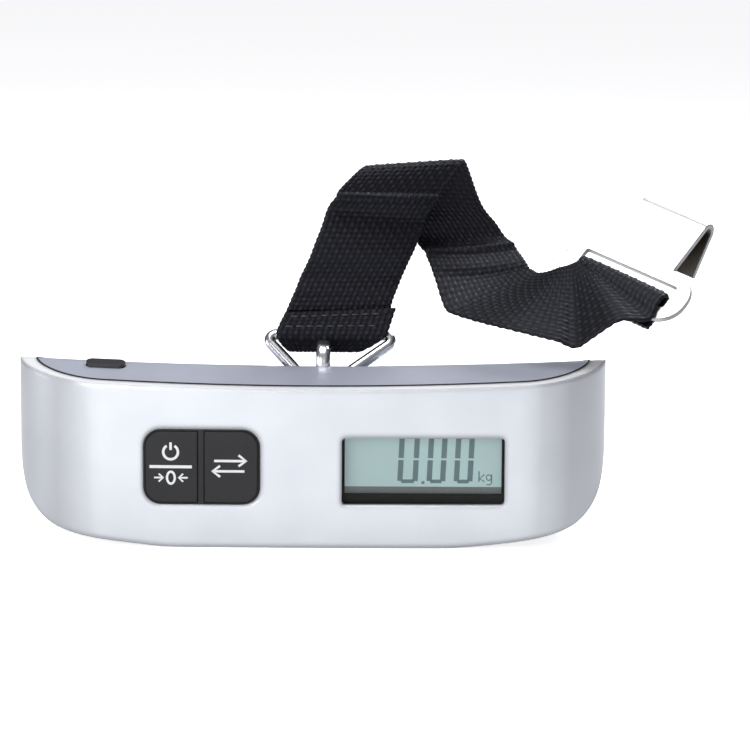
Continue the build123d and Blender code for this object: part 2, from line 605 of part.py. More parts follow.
hole_z, hole_h = centre_size(EYE_HOLE_Z0, EYE_HOLE_Z1)
with BuildPart() as eye_bolt:
    with BuildSketch(Plane.YZ.offset(EYE_X)):
        with Locations((EYE_Y, hole_z)):
            SlotOverall(hole_h + 2 * EYE_ROD, EYE_HOLE_W + 2 * EYE_ROD, rotation=90)
            SlotOverall(hole_h, EYE_HOLE_W, rotation=90, mode=Mode.SUBTRACT)
    extrude(amount=EYE_ROD / 2, both=True)
    straight = eye_bolt.edges().filter_by(GeomType.LINE).filter_by(Axis.Z)
    fillet(straight + eye_bolt.edges().filter_by(GeomType.CIRCLE), radius=1.3)
    add(rod_z(EYE, STEM_R, 9.0, 33.4))
save("eye_bolt", eye_bolt.part)

WASHER_Z, NUT_Z = 14.0, 10.0                  # undersides; the washer bears on the beam
with BuildPart() as eye_washer:
    add(rod_z(EYE, 5.0, WASHER_Z, BEAM_Z0))
    add(rod_z(EYE, STEM_HOLE_R, WASHER_Z, BEAM_Z0), mode=Mode.SUBTRACT)
save("eye_washer", eye_washer.part)

with BuildPart() as eye_nut:
    with BuildSketch(Plane.XY.offset(NUT_Z)):
        with Locations(EYE):
            RegularPolygon(4.0, 6, major_radius=False)
            Circle(STEM_R, mode=Mode.SUBTRACT)
    extrude(amount=WASHER_Z - NUT_Z)
save("eye_nut", eye_nut.part)

with BuildPart() as guide_bush:                                   # nylon bush that keeps the stem upright
    add(rod_z(EYE, 5.4, WELL_UNDER - 1.2, WELL_UNDER))
    add(rod_z(EYE, BUSH_R, WELL_UNDER, WELL_FLOOR))
    add(rod_z(EYE, STEM_HOLE_R, 20, 40), mode=Mode.SUBTRACT)
save("guide_bush", guide_bush.part)


# ------------------------------------------------------------------ wiring
def wire(points, radius):
    """A round wire along a smooth curve."""
    with BuildPart() as part:
        with BuildLine():
            path = Spline(*points)
        with BuildSketch(Plane(origin=path @ 0, z_dir=path % 0)):
            Circle(radius)
        sweep(path=path)
    return part.part


# leads from the circuit board back to the battery holder
LEAD_R = 0.5
LEAD_Y0, LEAD_Y1 = PCB_Y1 + 0.25, HOLDER_Y0 - 0.25
save("battery_lead_red", wire([(-36.0, LEAD_Y0, 26.0), (-36.0, -3.0, 26.6),
                               (-36.4, 1.0, 25.8), (-36.4, LEAD_Y1, 26.0)], LEAD_R))
save("battery_lead_black", wire([(-40.0, LEAD_Y0, 24.0), (-40.0, -3.0, 23.2),
                                 (-40.6, 1.0, 24.2), (-40.6, LEAD_Y1, 24.0)], LEAD_R))

GAUGE_WIRE_PITCH = 2.4
with BuildPart() as gauge_wires:
    for i in range(4):
        x = 12.0 + GAUGE_WIRE_PITCH * i
        add(wire([(x + 1.0, 1.2, 27.7), (x + 0.6, -1.2, 28.6), (x, -3.6, 29.0),
                  (x, PCB_Y1 + 0.2, 29.0)], 0.35))
save("gauge_wires", gauge_wires.part)


# ------------------------------------------------------------------ ring
def unit(start, end):
    """Unit vector from one point towards another."""
    return (Vector(*end) - Vector(*start)).normalized()


def rounded_corner(corner, before, after, radius):
    """Start, middle and end of the arc that rounds a corner."""
    to_before, to_after = unit(corner, before), unit(corner, after)
    half_angle = radians(to_before.get_angle(to_after) / 2)
    bisector = (to_before + to_after).normalized()
    setback = radius / tan(half_angle)
    apex = Vector(*corner)
    middle = apex + bisector * (radius / sin(half_angle) - radius)
    points = (apex + to_before * setback, middle, apex + to_after * setback)
    return [(point.X, point.Y) for point in points]


# corners of the triangle in the ring's own plane: (x, distance up the plane), bend radius
RING_CORNERS = [((-12.5, RING_REACH), 1.5), ((1.2, -3.37), 9.45), ((21.5, RING_REACH), 1.5)]
RING_START = (4.0, RING_REACH)                # where the sweep begins, on the ring's bar
ring_plane = Plane(origin=(0, EYE_Y, RING_PIVOT_Z), x_dir=(1, 0, 0),
                   z_dir=(0, -cos(RING_LEAN), sin(RING_LEAN)))
with BuildPart() as triangle_ring:
    with BuildLine(ring_plane) as ring_path:
        here = RING_START
        for i, (corner, radius) in enumerate(RING_CORNERS):
            arc = rounded_corner(corner, RING_CORNERS[i - 1][0], RING_CORNERS[(i + 1) % 3][0], radius)
            Line(here, arc[0])
            ThreePointArc(*arc)
            here = arc[2]
        Line(here, RING_START)
    with BuildSketch(Plane(origin=(RING_START[0], BAR_Y, BAR_Z), z_dir=(-1, 0, 0))):
        Circle(WIRE_R)
    sweep(path=ring_path.wire())
save("triangle_ring", triangle_ring.part)

# ------------------------------------------------------------------ strap: two pieces that meet at the fold
HOOK_ORIGIN = Vector(76.9, 6.56, 64.35)                           # middle of the slot's upper edge
HOOK_ACROSS = Vector(0.783, -0.557, -0.274).normalized()          # along the slot
tongue_lean = Vector(0.575, 0.483, 0.661)
HOOK_ALONG = (tongue_lean - HOOK_ACROSS * HOOK_ACROSS.dot(tongue_lean)).normalized()   # along the tongue
HOOK_NORMAL = HOOK_ACROSS.cross(HOOK_ALONG)
HOOK_BAR = HOOK_ORIGIN - HOOK_ALONG * 8.5                         # axis of the bar that the strap wraps

# stations along each strap piece: the two ends of a line across the webbing
LOWER_EDGES = [
    ((-8.9, 11.16, 49.25), (16.8, 11.16, 49.25)), ((-5.6, 10.76, 55.85), (19, 12.56, 55.85)),
    ((1, 8.36, 71.75), (25.6, 15.56, 70.45)), ((5.5, 9.56, 81.85), (29.8, 17.56, 80.05)),
    ((11.3, 14.06, 87.55), (35.5, 20.56, 88.75)),
]
UPPER_EDGES = [
    ((12.5, 16.76, 87.05), (36.8, 23.46, 88.05)), ((18.5, 21.06, 78.25), (41.0, 27.06, 76.85)),
    ((26.4, 20.06, 66.95), (49.0, 25.56, 67.25)), ((29.1, 15.06, 61.85), (52.0, 20.0, 63.6)),
    ((33.0, 8.0, 54.7), (54.6, 16.0, 61.5)), ((45.0, -1.5, 51.4), (58.0, 12.0, 63.3)),
    ((58.3, -9.0, 49.5), (60.2, 8.2, 64.9)), ((62.4, -9.5, 48.0), (62.0, 8.0, 65.4)),
]


def midpoints(edges):
    return [(Vector(*start) + Vector(*end)) * 0.5 for start, end in edges]


def ribbon(edges, thickness):
    """A strap through the stations, as a ruled loft of thin rectangles."""
    mids = midpoints(edges)
    with BuildPart() as part:
        for i, (start, end) in enumerate(edges):
            across = unit(start, end)
            along = mids[min(i + 1, len(mids) - 1)] - mids[max(i - 1, 0)]
            along = (along - across * across.dot(along)).normalized()
            with BuildSketch(Plane(origin=mids[i], x_dir=across, z_dir=along)):
                Rectangle((Vector(*end) - Vector(*start)).length, thickness)
        loft(ruled=True)
    return part.part


with BuildPart() as strap_lower:
    add(ribbon(LOWER_EDGES, STRAP_T))
    # sewn loop around the ring's bar
    add(rod_x((BAR_Y, BAR_Z), WIRE_R + 1.5, -7.4, 14.6))
    add(rod_x((BAR_Y, BAR_Z), WIRE_R + 0.1, -12, 18), mode=Mode.SUBTRACT)
save("strap_lower", strap_lower.part)


def rod_at_hook(radius, half_len):
    """Round rod on the axis of the hook's bar."""
    plane = Plane(origin=HOOK_BAR - HOOK_ACROSS * half_len, x_dir=HOOK_ALONG, z_dir=HOOK_ACROSS)
    return rod(plane, (0, 0), radius, 2 * half_len)


LENGTH_LAP = 0.7                              # each length of webbing overruns its stations
with BuildPart() as strap_upper:
    mids = midpoints(UPPER_EDGES)
    for i in range(len(mids) - 1):                                # a run of flat lengths that turn as they go
        across = unit(*UPPER_EDGES[i]) + unit(*UPPER_EDGES[i + 1])
        run = mids[i + 1] - mids[i]
        along = run.normalized()
        across = (across - along * along.dot(across)).normalized()
        back = -3.0 if i == 0 else LENGTH_LAP                     # the first length starts clear of the fold
        with BuildSketch(Plane(origin=mids[i] - along * back, x_dir=across, z_dir=along)):
            Rectangle(STRAP_W - 1.0, STRAP_T)
        extrude(amount=run.length + back + LENGTH_LAP)
    # turns to lie square to the slot
    with BuildSketch(Plane(origin=HOOK_ORIGIN - HOOK_ALONG * 13.3, x_dir=HOOK_ACROSS,
                           z_dir=HOOK_NORMAL)):
        Rectangle(STRAP_W - 1.0, 4.4)
    extrude(amount=STRAP_T / 2, both=True)
    add(rod_at_hook(3.5, 12.2))                                   # sewn loop in the hook's slot
    add(rod_at_hook(2.4, 14.5), mode=Mode.SUBTRACT)
save("strap_upper", strap_upper.part)

# ------------------------------------------------------------------ hook: one bent plate
HALF_T = 1.3 / 2                              # half the plate's thickness
TONGUE_W, TONGUE_END = 19.0, 18.0             # the tongue runs from 1 to 18 along the plate
SLOT_H = 6.5
BEND_INNER = 1.5
BEND_OUTER = BEND_INNER + 2 * HALF_T
BEND_END, BEND_MID = radians(-60), radians(15)    # the bend starts at 90 degrees
LIP_LEN = 11.0


def on_bend(radius, angle):
    """Point on the bend, in (along the tongue, across the thickness)."""
    return TONGUE_END + radius * cos(angle), -HALF_T - BEND_INNER + radius * sin(angle)


def lip_end(point):
    """The far end of the straight lip that leaves the bend at a point."""
    return point[0] + sin(BEND_END) * LIP_LEN, point[1] - cos(BEND_END) * LIP_LEN


with BuildPart() as hook:
    with BuildSketch(Plane(origin=HOOK_ORIGIN, x_dir=HOOK_ACROSS, z_dir=HOOK_NORMAL)):
        with Locations((0, -3.3)):
            RectangleRounded(35.4, 14.4, 6.6)
        with Locations((0, TONGUE_END - 8.5)):
            Rectangle(TONGUE_W, 17.0)
        with Locations((0, -SLOT_H / 2)):
            RectangleRounded(26.6, SLOT_H, 0.6, mode=Mode.SUBTRACT)
    extrude(amount=HALF_T, both=True)
    # bend and lip, drawn from the side and starting a little inside the tongue
    with BuildSketch(Plane(origin=HOOK_ORIGIN - HOOK_ACROSS * TONGUE_W / 2, x_dir=HOOK_ALONG,
                           z_dir=HOOK_ACROSS)):
        root = TONGUE_END - 0.5
        outer, inner = on_bend(BEND_OUTER, BEND_END), on_bend(BEND_INNER, BEND_END)
        with BuildLine():
            Line((root, HALF_T), (TONGUE_END, HALF_T))
            ThreePointArc((TONGUE_END, HALF_T), on_bend(BEND_OUTER, BEND_MID), outer)
            Line(outer, lip_end(outer))
            Line(lip_end(outer), lip_end(inner))
            Line(lip_end(inner), inner)
            ThreePointArc(inner, on_bend(BEND_INNER, BEND_MID), (TONGUE_END, -HALF_T))
            Line((TONGUE_END, -HALF_T), (root, -HALF_T))
            Line((root, -HALF_T), (root, HALF_T))
        make_face()
    extrude(amount=TONGUE_W)
save("hook", hook.part)
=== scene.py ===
"""Hand-held digital hanging scale: a bar-shaped housing with keys and a display, a webbing
strap folded through its ring, and a hook plate at the strap's far end.

The bar lies along x, its front faces -y and z is up. The scene is in metres; shapes here are
written in millimetres and scaled by MM. This script adds the webbing, stitching, printed
legends, display contents and a gasket bead that also paints the seam's shadow, then the studio.
"""
import json
import math
import bpy
import bmesh
import numpy as np
from mathutils import Vector, Matrix


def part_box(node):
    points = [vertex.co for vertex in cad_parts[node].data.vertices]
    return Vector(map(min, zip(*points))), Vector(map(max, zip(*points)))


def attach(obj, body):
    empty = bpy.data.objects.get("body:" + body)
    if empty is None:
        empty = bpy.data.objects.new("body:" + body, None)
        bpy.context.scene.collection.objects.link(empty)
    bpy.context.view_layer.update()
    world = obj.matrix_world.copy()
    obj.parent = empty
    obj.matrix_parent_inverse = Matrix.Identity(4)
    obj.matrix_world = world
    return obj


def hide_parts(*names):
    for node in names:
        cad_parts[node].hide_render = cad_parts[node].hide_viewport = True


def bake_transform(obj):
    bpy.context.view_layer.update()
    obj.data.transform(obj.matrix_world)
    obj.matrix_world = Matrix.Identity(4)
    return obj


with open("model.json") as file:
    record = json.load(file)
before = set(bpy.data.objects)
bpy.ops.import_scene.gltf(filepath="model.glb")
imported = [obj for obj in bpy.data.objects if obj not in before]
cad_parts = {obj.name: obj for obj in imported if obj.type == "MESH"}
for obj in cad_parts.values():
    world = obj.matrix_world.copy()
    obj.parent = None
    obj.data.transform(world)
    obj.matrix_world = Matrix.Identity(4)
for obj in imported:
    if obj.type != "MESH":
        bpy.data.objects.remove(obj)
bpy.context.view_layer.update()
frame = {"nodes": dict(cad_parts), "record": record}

NODES = frame["nodes"]
MM = 0.001

HOOK_WIDTH_AXIS = (0.783, -0.557, -0.274)   # across the hook plate
BAR_BOW = 0.8       # how far the bar's long sides curve back ...
BAR_FLAT = 50.0     # ... between the middle and this x
MATERIALS = {}      # every material, by name


# ------------------------------------------------------------------ node helpers
class Graph:
    """An emptied node tree with an output node, texture coordinates and shorthands."""

    def __init__(self, tree, output_kind):
        self.tree = tree
        tree.nodes.clear()
        self.out = self.node(output_kind)
        self.coords = self.node("ShaderNodeTexCoord")

    def node(self, kind, **settings):
        """Add a node; each setting is an input's value or a property."""
        node = self.tree.nodes.new(kind)
        for key, value in settings.items():
            if key in node.inputs:
                node.inputs[key].default_value = value
            else:
                setattr(node, key, value)
        return node

    def link(self, source, target):
        self.tree.links.new(source, target)

    def noise(self, scale, detail=3.0, stretch=None):
        noise = self.node("ShaderNodeTexNoise", Scale=scale, Detail=detail, Roughness=0.5)
        source = self.coords.outputs["Object"]
        if stretch:
            mapping = self.node("ShaderNodeMapping", Scale=stretch)
            self.link(source, mapping.inputs["Vector"])
            source = mapping.outputs[0]
        self.link(source, noise.inputs["Vector"])
        return noise.outputs["Fac"]

    def ramp(self, factor, stops):
        """Colour ramp through (position, grey or RGB) stops."""
        ramp = self.node("ShaderNodeValToRGB")
        elements = ramp.color_ramp.elements
        while len(elements) < len(stops):
            elements.new(0.5)
        for element, (position, c) in zip(elements, stops):
            element.position = position
            element.color = (*c, 1.0) if isinstance(c, tuple) else (c, c, c, 1.0)
        self.link(factor, ramp.inputs[0])
        return ramp.outputs[0]

    def span(self, value, low, high):
        """Map 0..1 to low..high."""
        span = self.node("ShaderNodeMapRange")
        span.inputs["To Min"].default_value = low
        span.inputs["To Max"].default_value = high
        self.link(value, span.inputs["Value"])
        return span.outputs[0]

    def math(self, operation, *operands):
        node = self.node("ShaderNodeMath", operation=operation)
        for socket, operand in zip(node.inputs, operands):
            if isinstance(operand, float):
                socket.default_value = operand
            else:
                self.link(operand, socket)
        return node.outputs[0]

    def multiply(self, first, second):
        """Product of two colours."""
        mix = self.node("ShaderNodeMix", data_type="RGBA", blend_type="MULTIPLY")
        mix.inputs[0].default_value = 1.0
        self.link(first, mix.inputs[6])
        self.link(second, mix.inputs[7])
        return mix.outputs[2]


class Material(Graph):
    def __init__(self, name):
        material = bpy.data.materials.new(name)
        material.use_nodes = True
        MATERIALS[name] = material
        super().__init__(material.node_tree, "ShaderNodeOutputMaterial")


class Principled(Material):
    def __init__(self, name, values):
        super().__init__(name)
        self.shader = self.node("ShaderNodeBsdfPrincipled")
        self.link(self.shader.outputs[0], self.out.inputs[0])
        for key, value in values.items():
            self.shader.inputs[key].default_value = value

    def feed(self, key, socket):
        self.link(socket, self.shader.inputs[key])

    def relief(self, height, strength, distance, bevel=0.0):
        """Bump from a height, over edges rounded by the bevel radius."""
        bump = self.node("ShaderNodeBump", Strength=strength, Distance=distance)
        self.link(height, bump.inputs["Height"])
        if bevel:
            rounded = self.node("ShaderNodeBevel", samples=4, Radius=bevel)
            self.link(rounded.outputs[0], bump.inputs["Normal"])
        self.feed("Normal", bump.outputs[0])


def srgb(*channels):
    """Linear colour from 0..255 sRGB channels."""
    return tuple(c / 12.92 if c <= 0.04045 else ((c + 0.055) / 1.055) ** 2.4
                 for c in (channel / 255.0 for channel in channels))


# ------------------------------------------------------------------ material kinds
def flake_flop_and_painted_highlight(m, tone, metallic):
    """Darken the lacquer as it turns away from the view; upward faces get a painted highlight,
    near white and less metallic.
    """
    facing = m.node("ShaderNodeLayerWeight", Blend=0.5)
    # a wide bevel makes the rim roll over into the front face
    rounded = m.node("ShaderNodeBevel", samples=6, Radius=0.0020).outputs[0]
    m.link(rounded, facing.inputs["Normal"])
    turned = m.ramp(facing.outputs["Facing"],
                    [(0.0, 1.0), (0.020, 1.0), (0.05, 0.80), (0.16, 0.60), (0.5, 0.62)])
    darkened = m.multiply(tone, turned)
    axes = m.node("ShaderNodeSeparateXYZ")
    m.link(rounded, axes.inputs[0])
    # painted highlight: faces turned upwards are mixed to a near-white colour and made less
    # metallic
    upward = m.ramp(axes.outputs[2], [(0.0, 0.0), (0.55, 0.0), (0.85, 1.0), (1.0, 1.0)])
    mix = m.node("ShaderNodeMix", data_type="RGBA", blend_type="MIX")
    m.link(upward, mix.inputs[0])
    m.link(darkened, mix.inputs[6])
    mix.inputs[7].default_value = (0.97, 0.975, 1.0, 1.0)
    m.feed("Metallic", m.span(upward, metallic, 0.05))
    return mix.outputs[2]


def lacquer(name, dark, light, metallic, rough, bevel, flop=False):
    """Silver lacquer: tiny flake, faint orange peel, slight cloudiness."""
    m = Principled(name, {"Metallic": metallic, "Roughness": rough,
                          "Coat Weight": 0.25, "Coat Roughness": 0.12})
    mix = m.node("ShaderNodeMix", data_type="FLOAT")
    mix.inputs[0].default_value = 0.45                            # share of flake in the tone
    m.link(m.noise(scale=60.0, detail=2.0), mix.inputs[2])        # cloud
    m.link(m.noise(scale=9000.0, detail=1.0), mix.inputs[3])      # flake
    tone = m.ramp(mix.outputs[0], [(0.35, dark), (0.65, light)])
    if flop:
        tone = flake_flop_and_painted_highlight(m, tone, metallic)
    m.feed("Base Color", tone)
    m.feed("Roughness", m.span(m.noise(scale=220.0), rough - 0.05, rough + 0.06))
    m.relief(m.noise(scale=1400.0, detail=2.0), strength=0.06, distance=0.00005, bevel=bevel)


def metal_surface(m, grain, scale, rough, bump, bevel):
    """Uneven roughness and fine relief shared by the bare metals."""
    uneven = m.noise(scale=scale * 0.35, detail=2.0)
    m.feed("Roughness", m.span(uneven, rough - 0.05, rough + 0.06))
    m.relief(grain, strength=bump, distance=0.00003, bevel=bevel)


def metal(name, dark, light, rough, scale=500.0, stretch=None, bump=0.05, bevel=0.0002):
    m = Principled(name, {"Metallic": 1.0, "Roughness": rough})
    grain = m.noise(scale=scale, detail=4.0, stretch=stretch)
    m.feed("Base Color", m.ramp(grain, [(0.3, dark), (0.7, light)]))
    metal_surface(m, grain, scale, rough, bump, bevel)


def nickel(name, dark, light, rough, scale, bump, bevel):
    """Bright plate with painted shade: brown-grey inside a tight bend, where little light gets
    in.
    """
    m = Principled(name, {"Metallic": 1.0, "Roughness": rough})
    grain = m.noise(scale=scale, detail=4.0)
    # painted shade: ambient occlusion tints the plate brown-grey inside the bend
    open_sky = m.node("ShaderNodeAmbientOcclusion", samples=6, only_local=True, Distance=0.020)
    bends = m.ramp(open_sky.outputs["AO"], [(0.30, (0.15, 0.132, 0.115)),
                                            (0.66, (0.26, 0.235, 0.21)), (0.90, 1.0)])
    plate = m.multiply(m.ramp(grain, [(0.3, dark), (0.7, light)]), bends)
    # painted shade: a dark outline is painted along the edges, where the bevelled normal leaves
    # the true one
    geometry = m.node("ShaderNodeNewGeometry")
    rounded = m.node("ShaderNodeBevel", samples=6, Radius=0.00042)
    agree = m.node("ShaderNodeVectorMath", operation="DOT_PRODUCT")
    m.link(rounded.outputs[0], agree.inputs[0])
    m.link(geometry.outputs["True Normal"], agree.inputs[1])
    outline = m.ramp(agree.outputs["Value"], [(0.84, (0.035, 0.035, 0.037)), (0.992, 1.0)])
    # painted shade: the plate's narrow end faces are darker than its broad faces
    across = m.node("ShaderNodeVectorMath", operation="DOT_PRODUCT")
    across.inputs[1].default_value = HOOK_WIDTH_AXIS
    m.link(geometry.outputs["True Normal"], across.inputs[0])
    painted_end_shade = m.ramp(m.math("ABSOLUTE", across.outputs["Value"]),
                  [(0.35, 1.0), (0.75, (0.42, 0.42, 0.43))])
    m.feed("Base Color", m.multiply(plate, m.multiply(outline, painted_end_shade)))
    metal_surface(m, grain, scale, rough, bump, bevel)


def plastic(name, dark, light, rough, grain=2500.0, bevel=0.0003, specular=0.5):
    m = Principled(name, {"Roughness": rough, "Specular IOR Level": specular})
    texture = m.noise(scale=grain, detail=2.0)
    tone = m.noise(scale=90.0, detail=2.0)
    m.feed("Base Color", m.ramp(tone, [(0.3, dark), (0.7, light)]))
    m.feed("Roughness", m.span(texture, rough - 0.06, rough + 0.08))
    m.relief(texture, strength=0.12, distance=0.00006, bevel=bevel)


def clear(name, tint, gloss, rough):
    """A thin clear plate: what lies behind shows, with a soft reflection on top."""
    m = Material(name)
    through = m.node("ShaderNodeBsdfTransparent")
    glossy = m.node("ShaderNodeBsdfGlossy")
    mix = m.node("ShaderNodeMixShader")
    uneven = m.noise(scale=35.0, detail=2.0)
    darker = tuple(c * 0.985 for c in tint)
    m.link(m.ramp(uneven, [(0.0, darker), (1.0, tint)]), through.inputs[0])
    m.link(m.span(uneven, rough * 0.7, rough * 1.3), glossy.inputs["Roughness"])
    fresnel = m.node("ShaderNodeFresnel", IOR=1.3)
    m.link(m.math("MULTIPLY", fresnel.outputs[0], gloss), mix.inputs[0])
    m.link(through.outputs[0], mix.inputs[1])
    m.link(glossy.outputs[0], mix.inputs[2])
    m.link(mix.outputs[0], m.out.inputs[0])


def lcd_back():
    """Pale back of the display, with a painted faint glow."""
    m = Principled("lcd_back", {"Roughness": 0.35, "Specular IOR Level": 0.4,
                                "Emission Strength": 0.32})
    tone = m.noise(scale=28.0, detail=2.0)
    # painted light: the same tone also glows faintly
    for key in ("Base Color", "Emission Color"):
        m.feed(key, m.ramp(tone, [(0.3, srgb(190, 200, 203)), (0.7, srgb(197, 212, 213))]))
    m.feed("Roughness", m.span(m.noise(scale=3000.0, detail=1.0), 0.3, 0.42))


def webbing():
    """Black webbing: painted shade in the crevices, a painted bluish sheen on the raised ribs,
    fine filament lines.
    """
    m = Principled("webbing_black", {
        "Roughness": 0.5, "Sheen Weight": 0.05, "Sheen Roughness": 0.4,
        "Specular IOR Level": 0.34, "Specular Tint": (0.84, 0.85, 1.0, 1.0)})
    weave = m.node("ShaderNodeAttribute", attribute_name="weave").outputs["Fac"]
    # painted shade and sheen: near black in the crevices, bluish on the raised ribs, by weave
    # height
    tint = m.ramp(weave, [(0.0, (0.0004, 0.0004, 0.0005)), (0.45, (0.0022, 0.0022, 0.003)),
                          (1.0, (0.010, 0.010, 0.0145))])
    patches = m.ramp(m.noise(scale=160.0), [(0.25, 0.72), (0.75, 1.15)])
    m.feed("Base Color", m.multiply(tint, patches))
    m.feed("Roughness", m.span(weave, 0.65, 0.36))
    m.relief(m.noise(scale=7000.0, detail=2.0), strength=0.25, distance=0.00008)


def thread():
    m = Principled("strap_thread", {"Roughness": 0.55, "Sheen Weight": 0.2})
    tone = m.noise(scale=2500.0, detail=2.0)
    m.feed("Base Color", m.ramp(tone, [(0.3, (0.018, 0.018, 0.022)), (0.7, (0.07, 0.07, 0.085))]))
    m.relief(m.noise(scale=6000.0, detail=2.0), strength=0.3, distance=0.00005)


def ink(name, color, rough=0.5, glow=0.0):
    m = Principled(name, {"Roughness": rough, "Emission Color": (*color, 1.0),
                          "Emission Strength": glow})
    darker = tuple(c * 0.93 for c in color)
    m.feed("Base Color", m.ramp(m.noise(scale=900.0, detail=2.0), [(0.3, darker), (0.7, color)]))
    m.relief(m.noise(scale=4000.0, detail=1.0), strength=0.1, distance=0.00003)


def floor_material():
    m = Principled("floor", {"Roughness": 0.85, "Specular IOR Level": 0.1,
                             "Emission Color": (1, 1, 1, 1)})
    tone = m.noise(scale=3.0, detail=2.0)
    m.feed("Base Color", m.ramp(tone, [(0.3, (0.93, 0.93, 0.935)), (0.7, (0.95, 0.95, 0.955))]))
    # the floor looks brighter than it lights
    seen = m.node("ShaderNodeLightPath").outputs["Is Camera Ray"]
    m.feed("Emission Strength", m.span(seen, 0.10, 0.73))


# ------------------------------------------------------------------ materials of the pieces
lacquer("shell_silver", dark=(0.755, 0.782, 0.826), light=(0.832, 0.855, 0.895),
        metallic=0.55, rough=0.30, bevel=0.0016, flop=True)
lacquer("deck_silver", dark=(0.60, 0.63, 0.74), light=(0.67, 0.70, 0.81),
        metallic=0.45, rough=0.36, bevel=0.0003)
plastic("black_rubber", dark=(0.006, 0.006, 0.007), light=(0.012, 0.012, 0.013),
        rough=0.7, bevel=0)
metal("screw_steel", dark=(0.42, 0.42, 0.43), light=(0.56, 0.56, 0.57), rough=0.3)
clear("clear_lens", tint=(0.965, 0.98, 0.98), gloss=0.35, rough=0.05)
plastic("black_plastic", dark=(0.003, 0.003, 0.003), light=(0.006, 0.006, 0.006),
        rough=0.6, specular=0.25)
clear("lcd_glass", tint=(0.95, 0.98, 0.975), gloss=0.25, rough=0.12)
plastic("key_black", dark=(0.006, 0.0058, 0.0068), light=(0.010, 0.0098, 0.0112),
        rough=0.5, grain=1800.0, bevel=0.0006)
plastic("board_green", dark=(0.01, 0.13, 0.045), light=(0.015, 0.19, 0.07), rough=0.3)
metal("cell_steel", dark=(0.58, 0.58, 0.58), light=(0.7, 0.7, 0.7), rough=0.25)
metal("contact_nickel", dark=(0.62, 0.59, 0.53), light=(0.72, 0.69, 0.63), rough=0.28)
plastic("lead_red", dark=(0.45, 0.015, 0.015), light=(0.58, 0.03, 0.03), rough=0.45, bevel=0)
plastic("lead_black", dark=(0.01, 0.01, 0.01), light=(0.02, 0.02, 0.02), rough=0.45, bevel=0)
plastic("button_black", dark=(0.018, 0.018, 0.020), light=(0.03, 0.03, 0.033), rough=0.42)
metal("beam_aluminium", dark=(0.66, 0.67, 0.68), light=(0.77, 0.78, 0.79),
      rough=0.34, stretch=(1.0, 12.0, 12.0))
plastic("gauge_foil", dark=(0.5, 0.3, 0.08), light=(0.62, 0.4, 0.15), rough=0.3)
metal("bracket_steel", dark=(0.5, 0.5, 0.48), light=(0.62, 0.62, 0.6), rough=0.36)
metal("bright_chrome", dark=(0.86, 0.865, 0.88), light=(0.93, 0.935, 0.945),
      rough=0.20, scale=300.0, bump=0.015, bevel=0.00015)
plastic("bush_nylon", dark=(0.72, 0.70, 0.62), light=(0.82, 0.80, 0.73), rough=0.45)
nickel("hook_nickel", dark=(0.66, 0.655, 0.648), light=(0.73, 0.725, 0.718),
       rough=0.38, scale=260.0, bump=0.02, bevel=0.0004)
lcd_back()
webbing()

for subpart in frame["record"]["subparts"]:
    piece = NODES.get(subpart["node"])
    if piece is None:
        continue
    material = MATERIALS[subpart["material_slot"]]
    if not piece.material_slots:
        piece.data.materials.append(material)
    for slot in piece.material_slots:
        slot.link = "OBJECT"
        slot.material = material


# ------------------------------------------------------------------ mesh helper
def new_mesh(name, verts, faces, material_name, smooth=True, weave=None):
    """Object from vertices in mm, with an optional per-vertex weave height."""
    mesh = bpy.data.meshes.new(name)
    mesh.from_pydata([tuple(float(c) * MM for c in vert) for vert in verts], [],
                     [tuple(int(i) for i in face) for face in faces])
    mesh.validate()
    if weave is not None:
        attribute = mesh.attributes.new("weave", "FLOAT", "POINT")
        attribute.data.foreach_set("value", np.asarray(weave, dtype=np.float32))
    bm = bmesh.new()
    bm.from_mesh(mesh)
    bmesh.ops.recalc_face_normals(bm, faces=bm.faces)
    bm.to_mesh(mesh)
    bm.free()
    mesh.materials.append(MATERIALS[material_name])
    if smooth:
        mesh.polygons.foreach_set("use_smooth", [True] * len(mesh.polygons))
    ob = bpy.data.objects.new(name, mesh)
    bpy.context.scene.collection.objects.link(ob)
    return ob


# ------------------------------------------------------------------ strap course
# local frame at the hook plate: across it, along the strap and square to both
HOOK_ORIGIN = np.array([76.9, 6.56, 64.35])
HOOK_ACROSS = np.array(HOOK_WIDTH_AXIS)
HOOK_ACROSS /= np.linalg.norm(HOOK_ACROSS)
HOOK_ALONG = np.array([0.575, 0.483, 0.661])
HOOK_ALONG -= HOOK_ACROSS * HOOK_ACROSS.dot(HOOK_ALONG)
HOOK_ALONG /= np.linalg.norm(HOOK_ALONG)
HOOK_NORMAL = np.cross(HOOK_ACROSS, HOOK_ALONG)


def at_hook(across, along, normal):
    return tuple(HOOK_ORIGIN + HOOK_ACROSS * across + HOOK_ALONG * along + HOOK_NORMAL * normal)


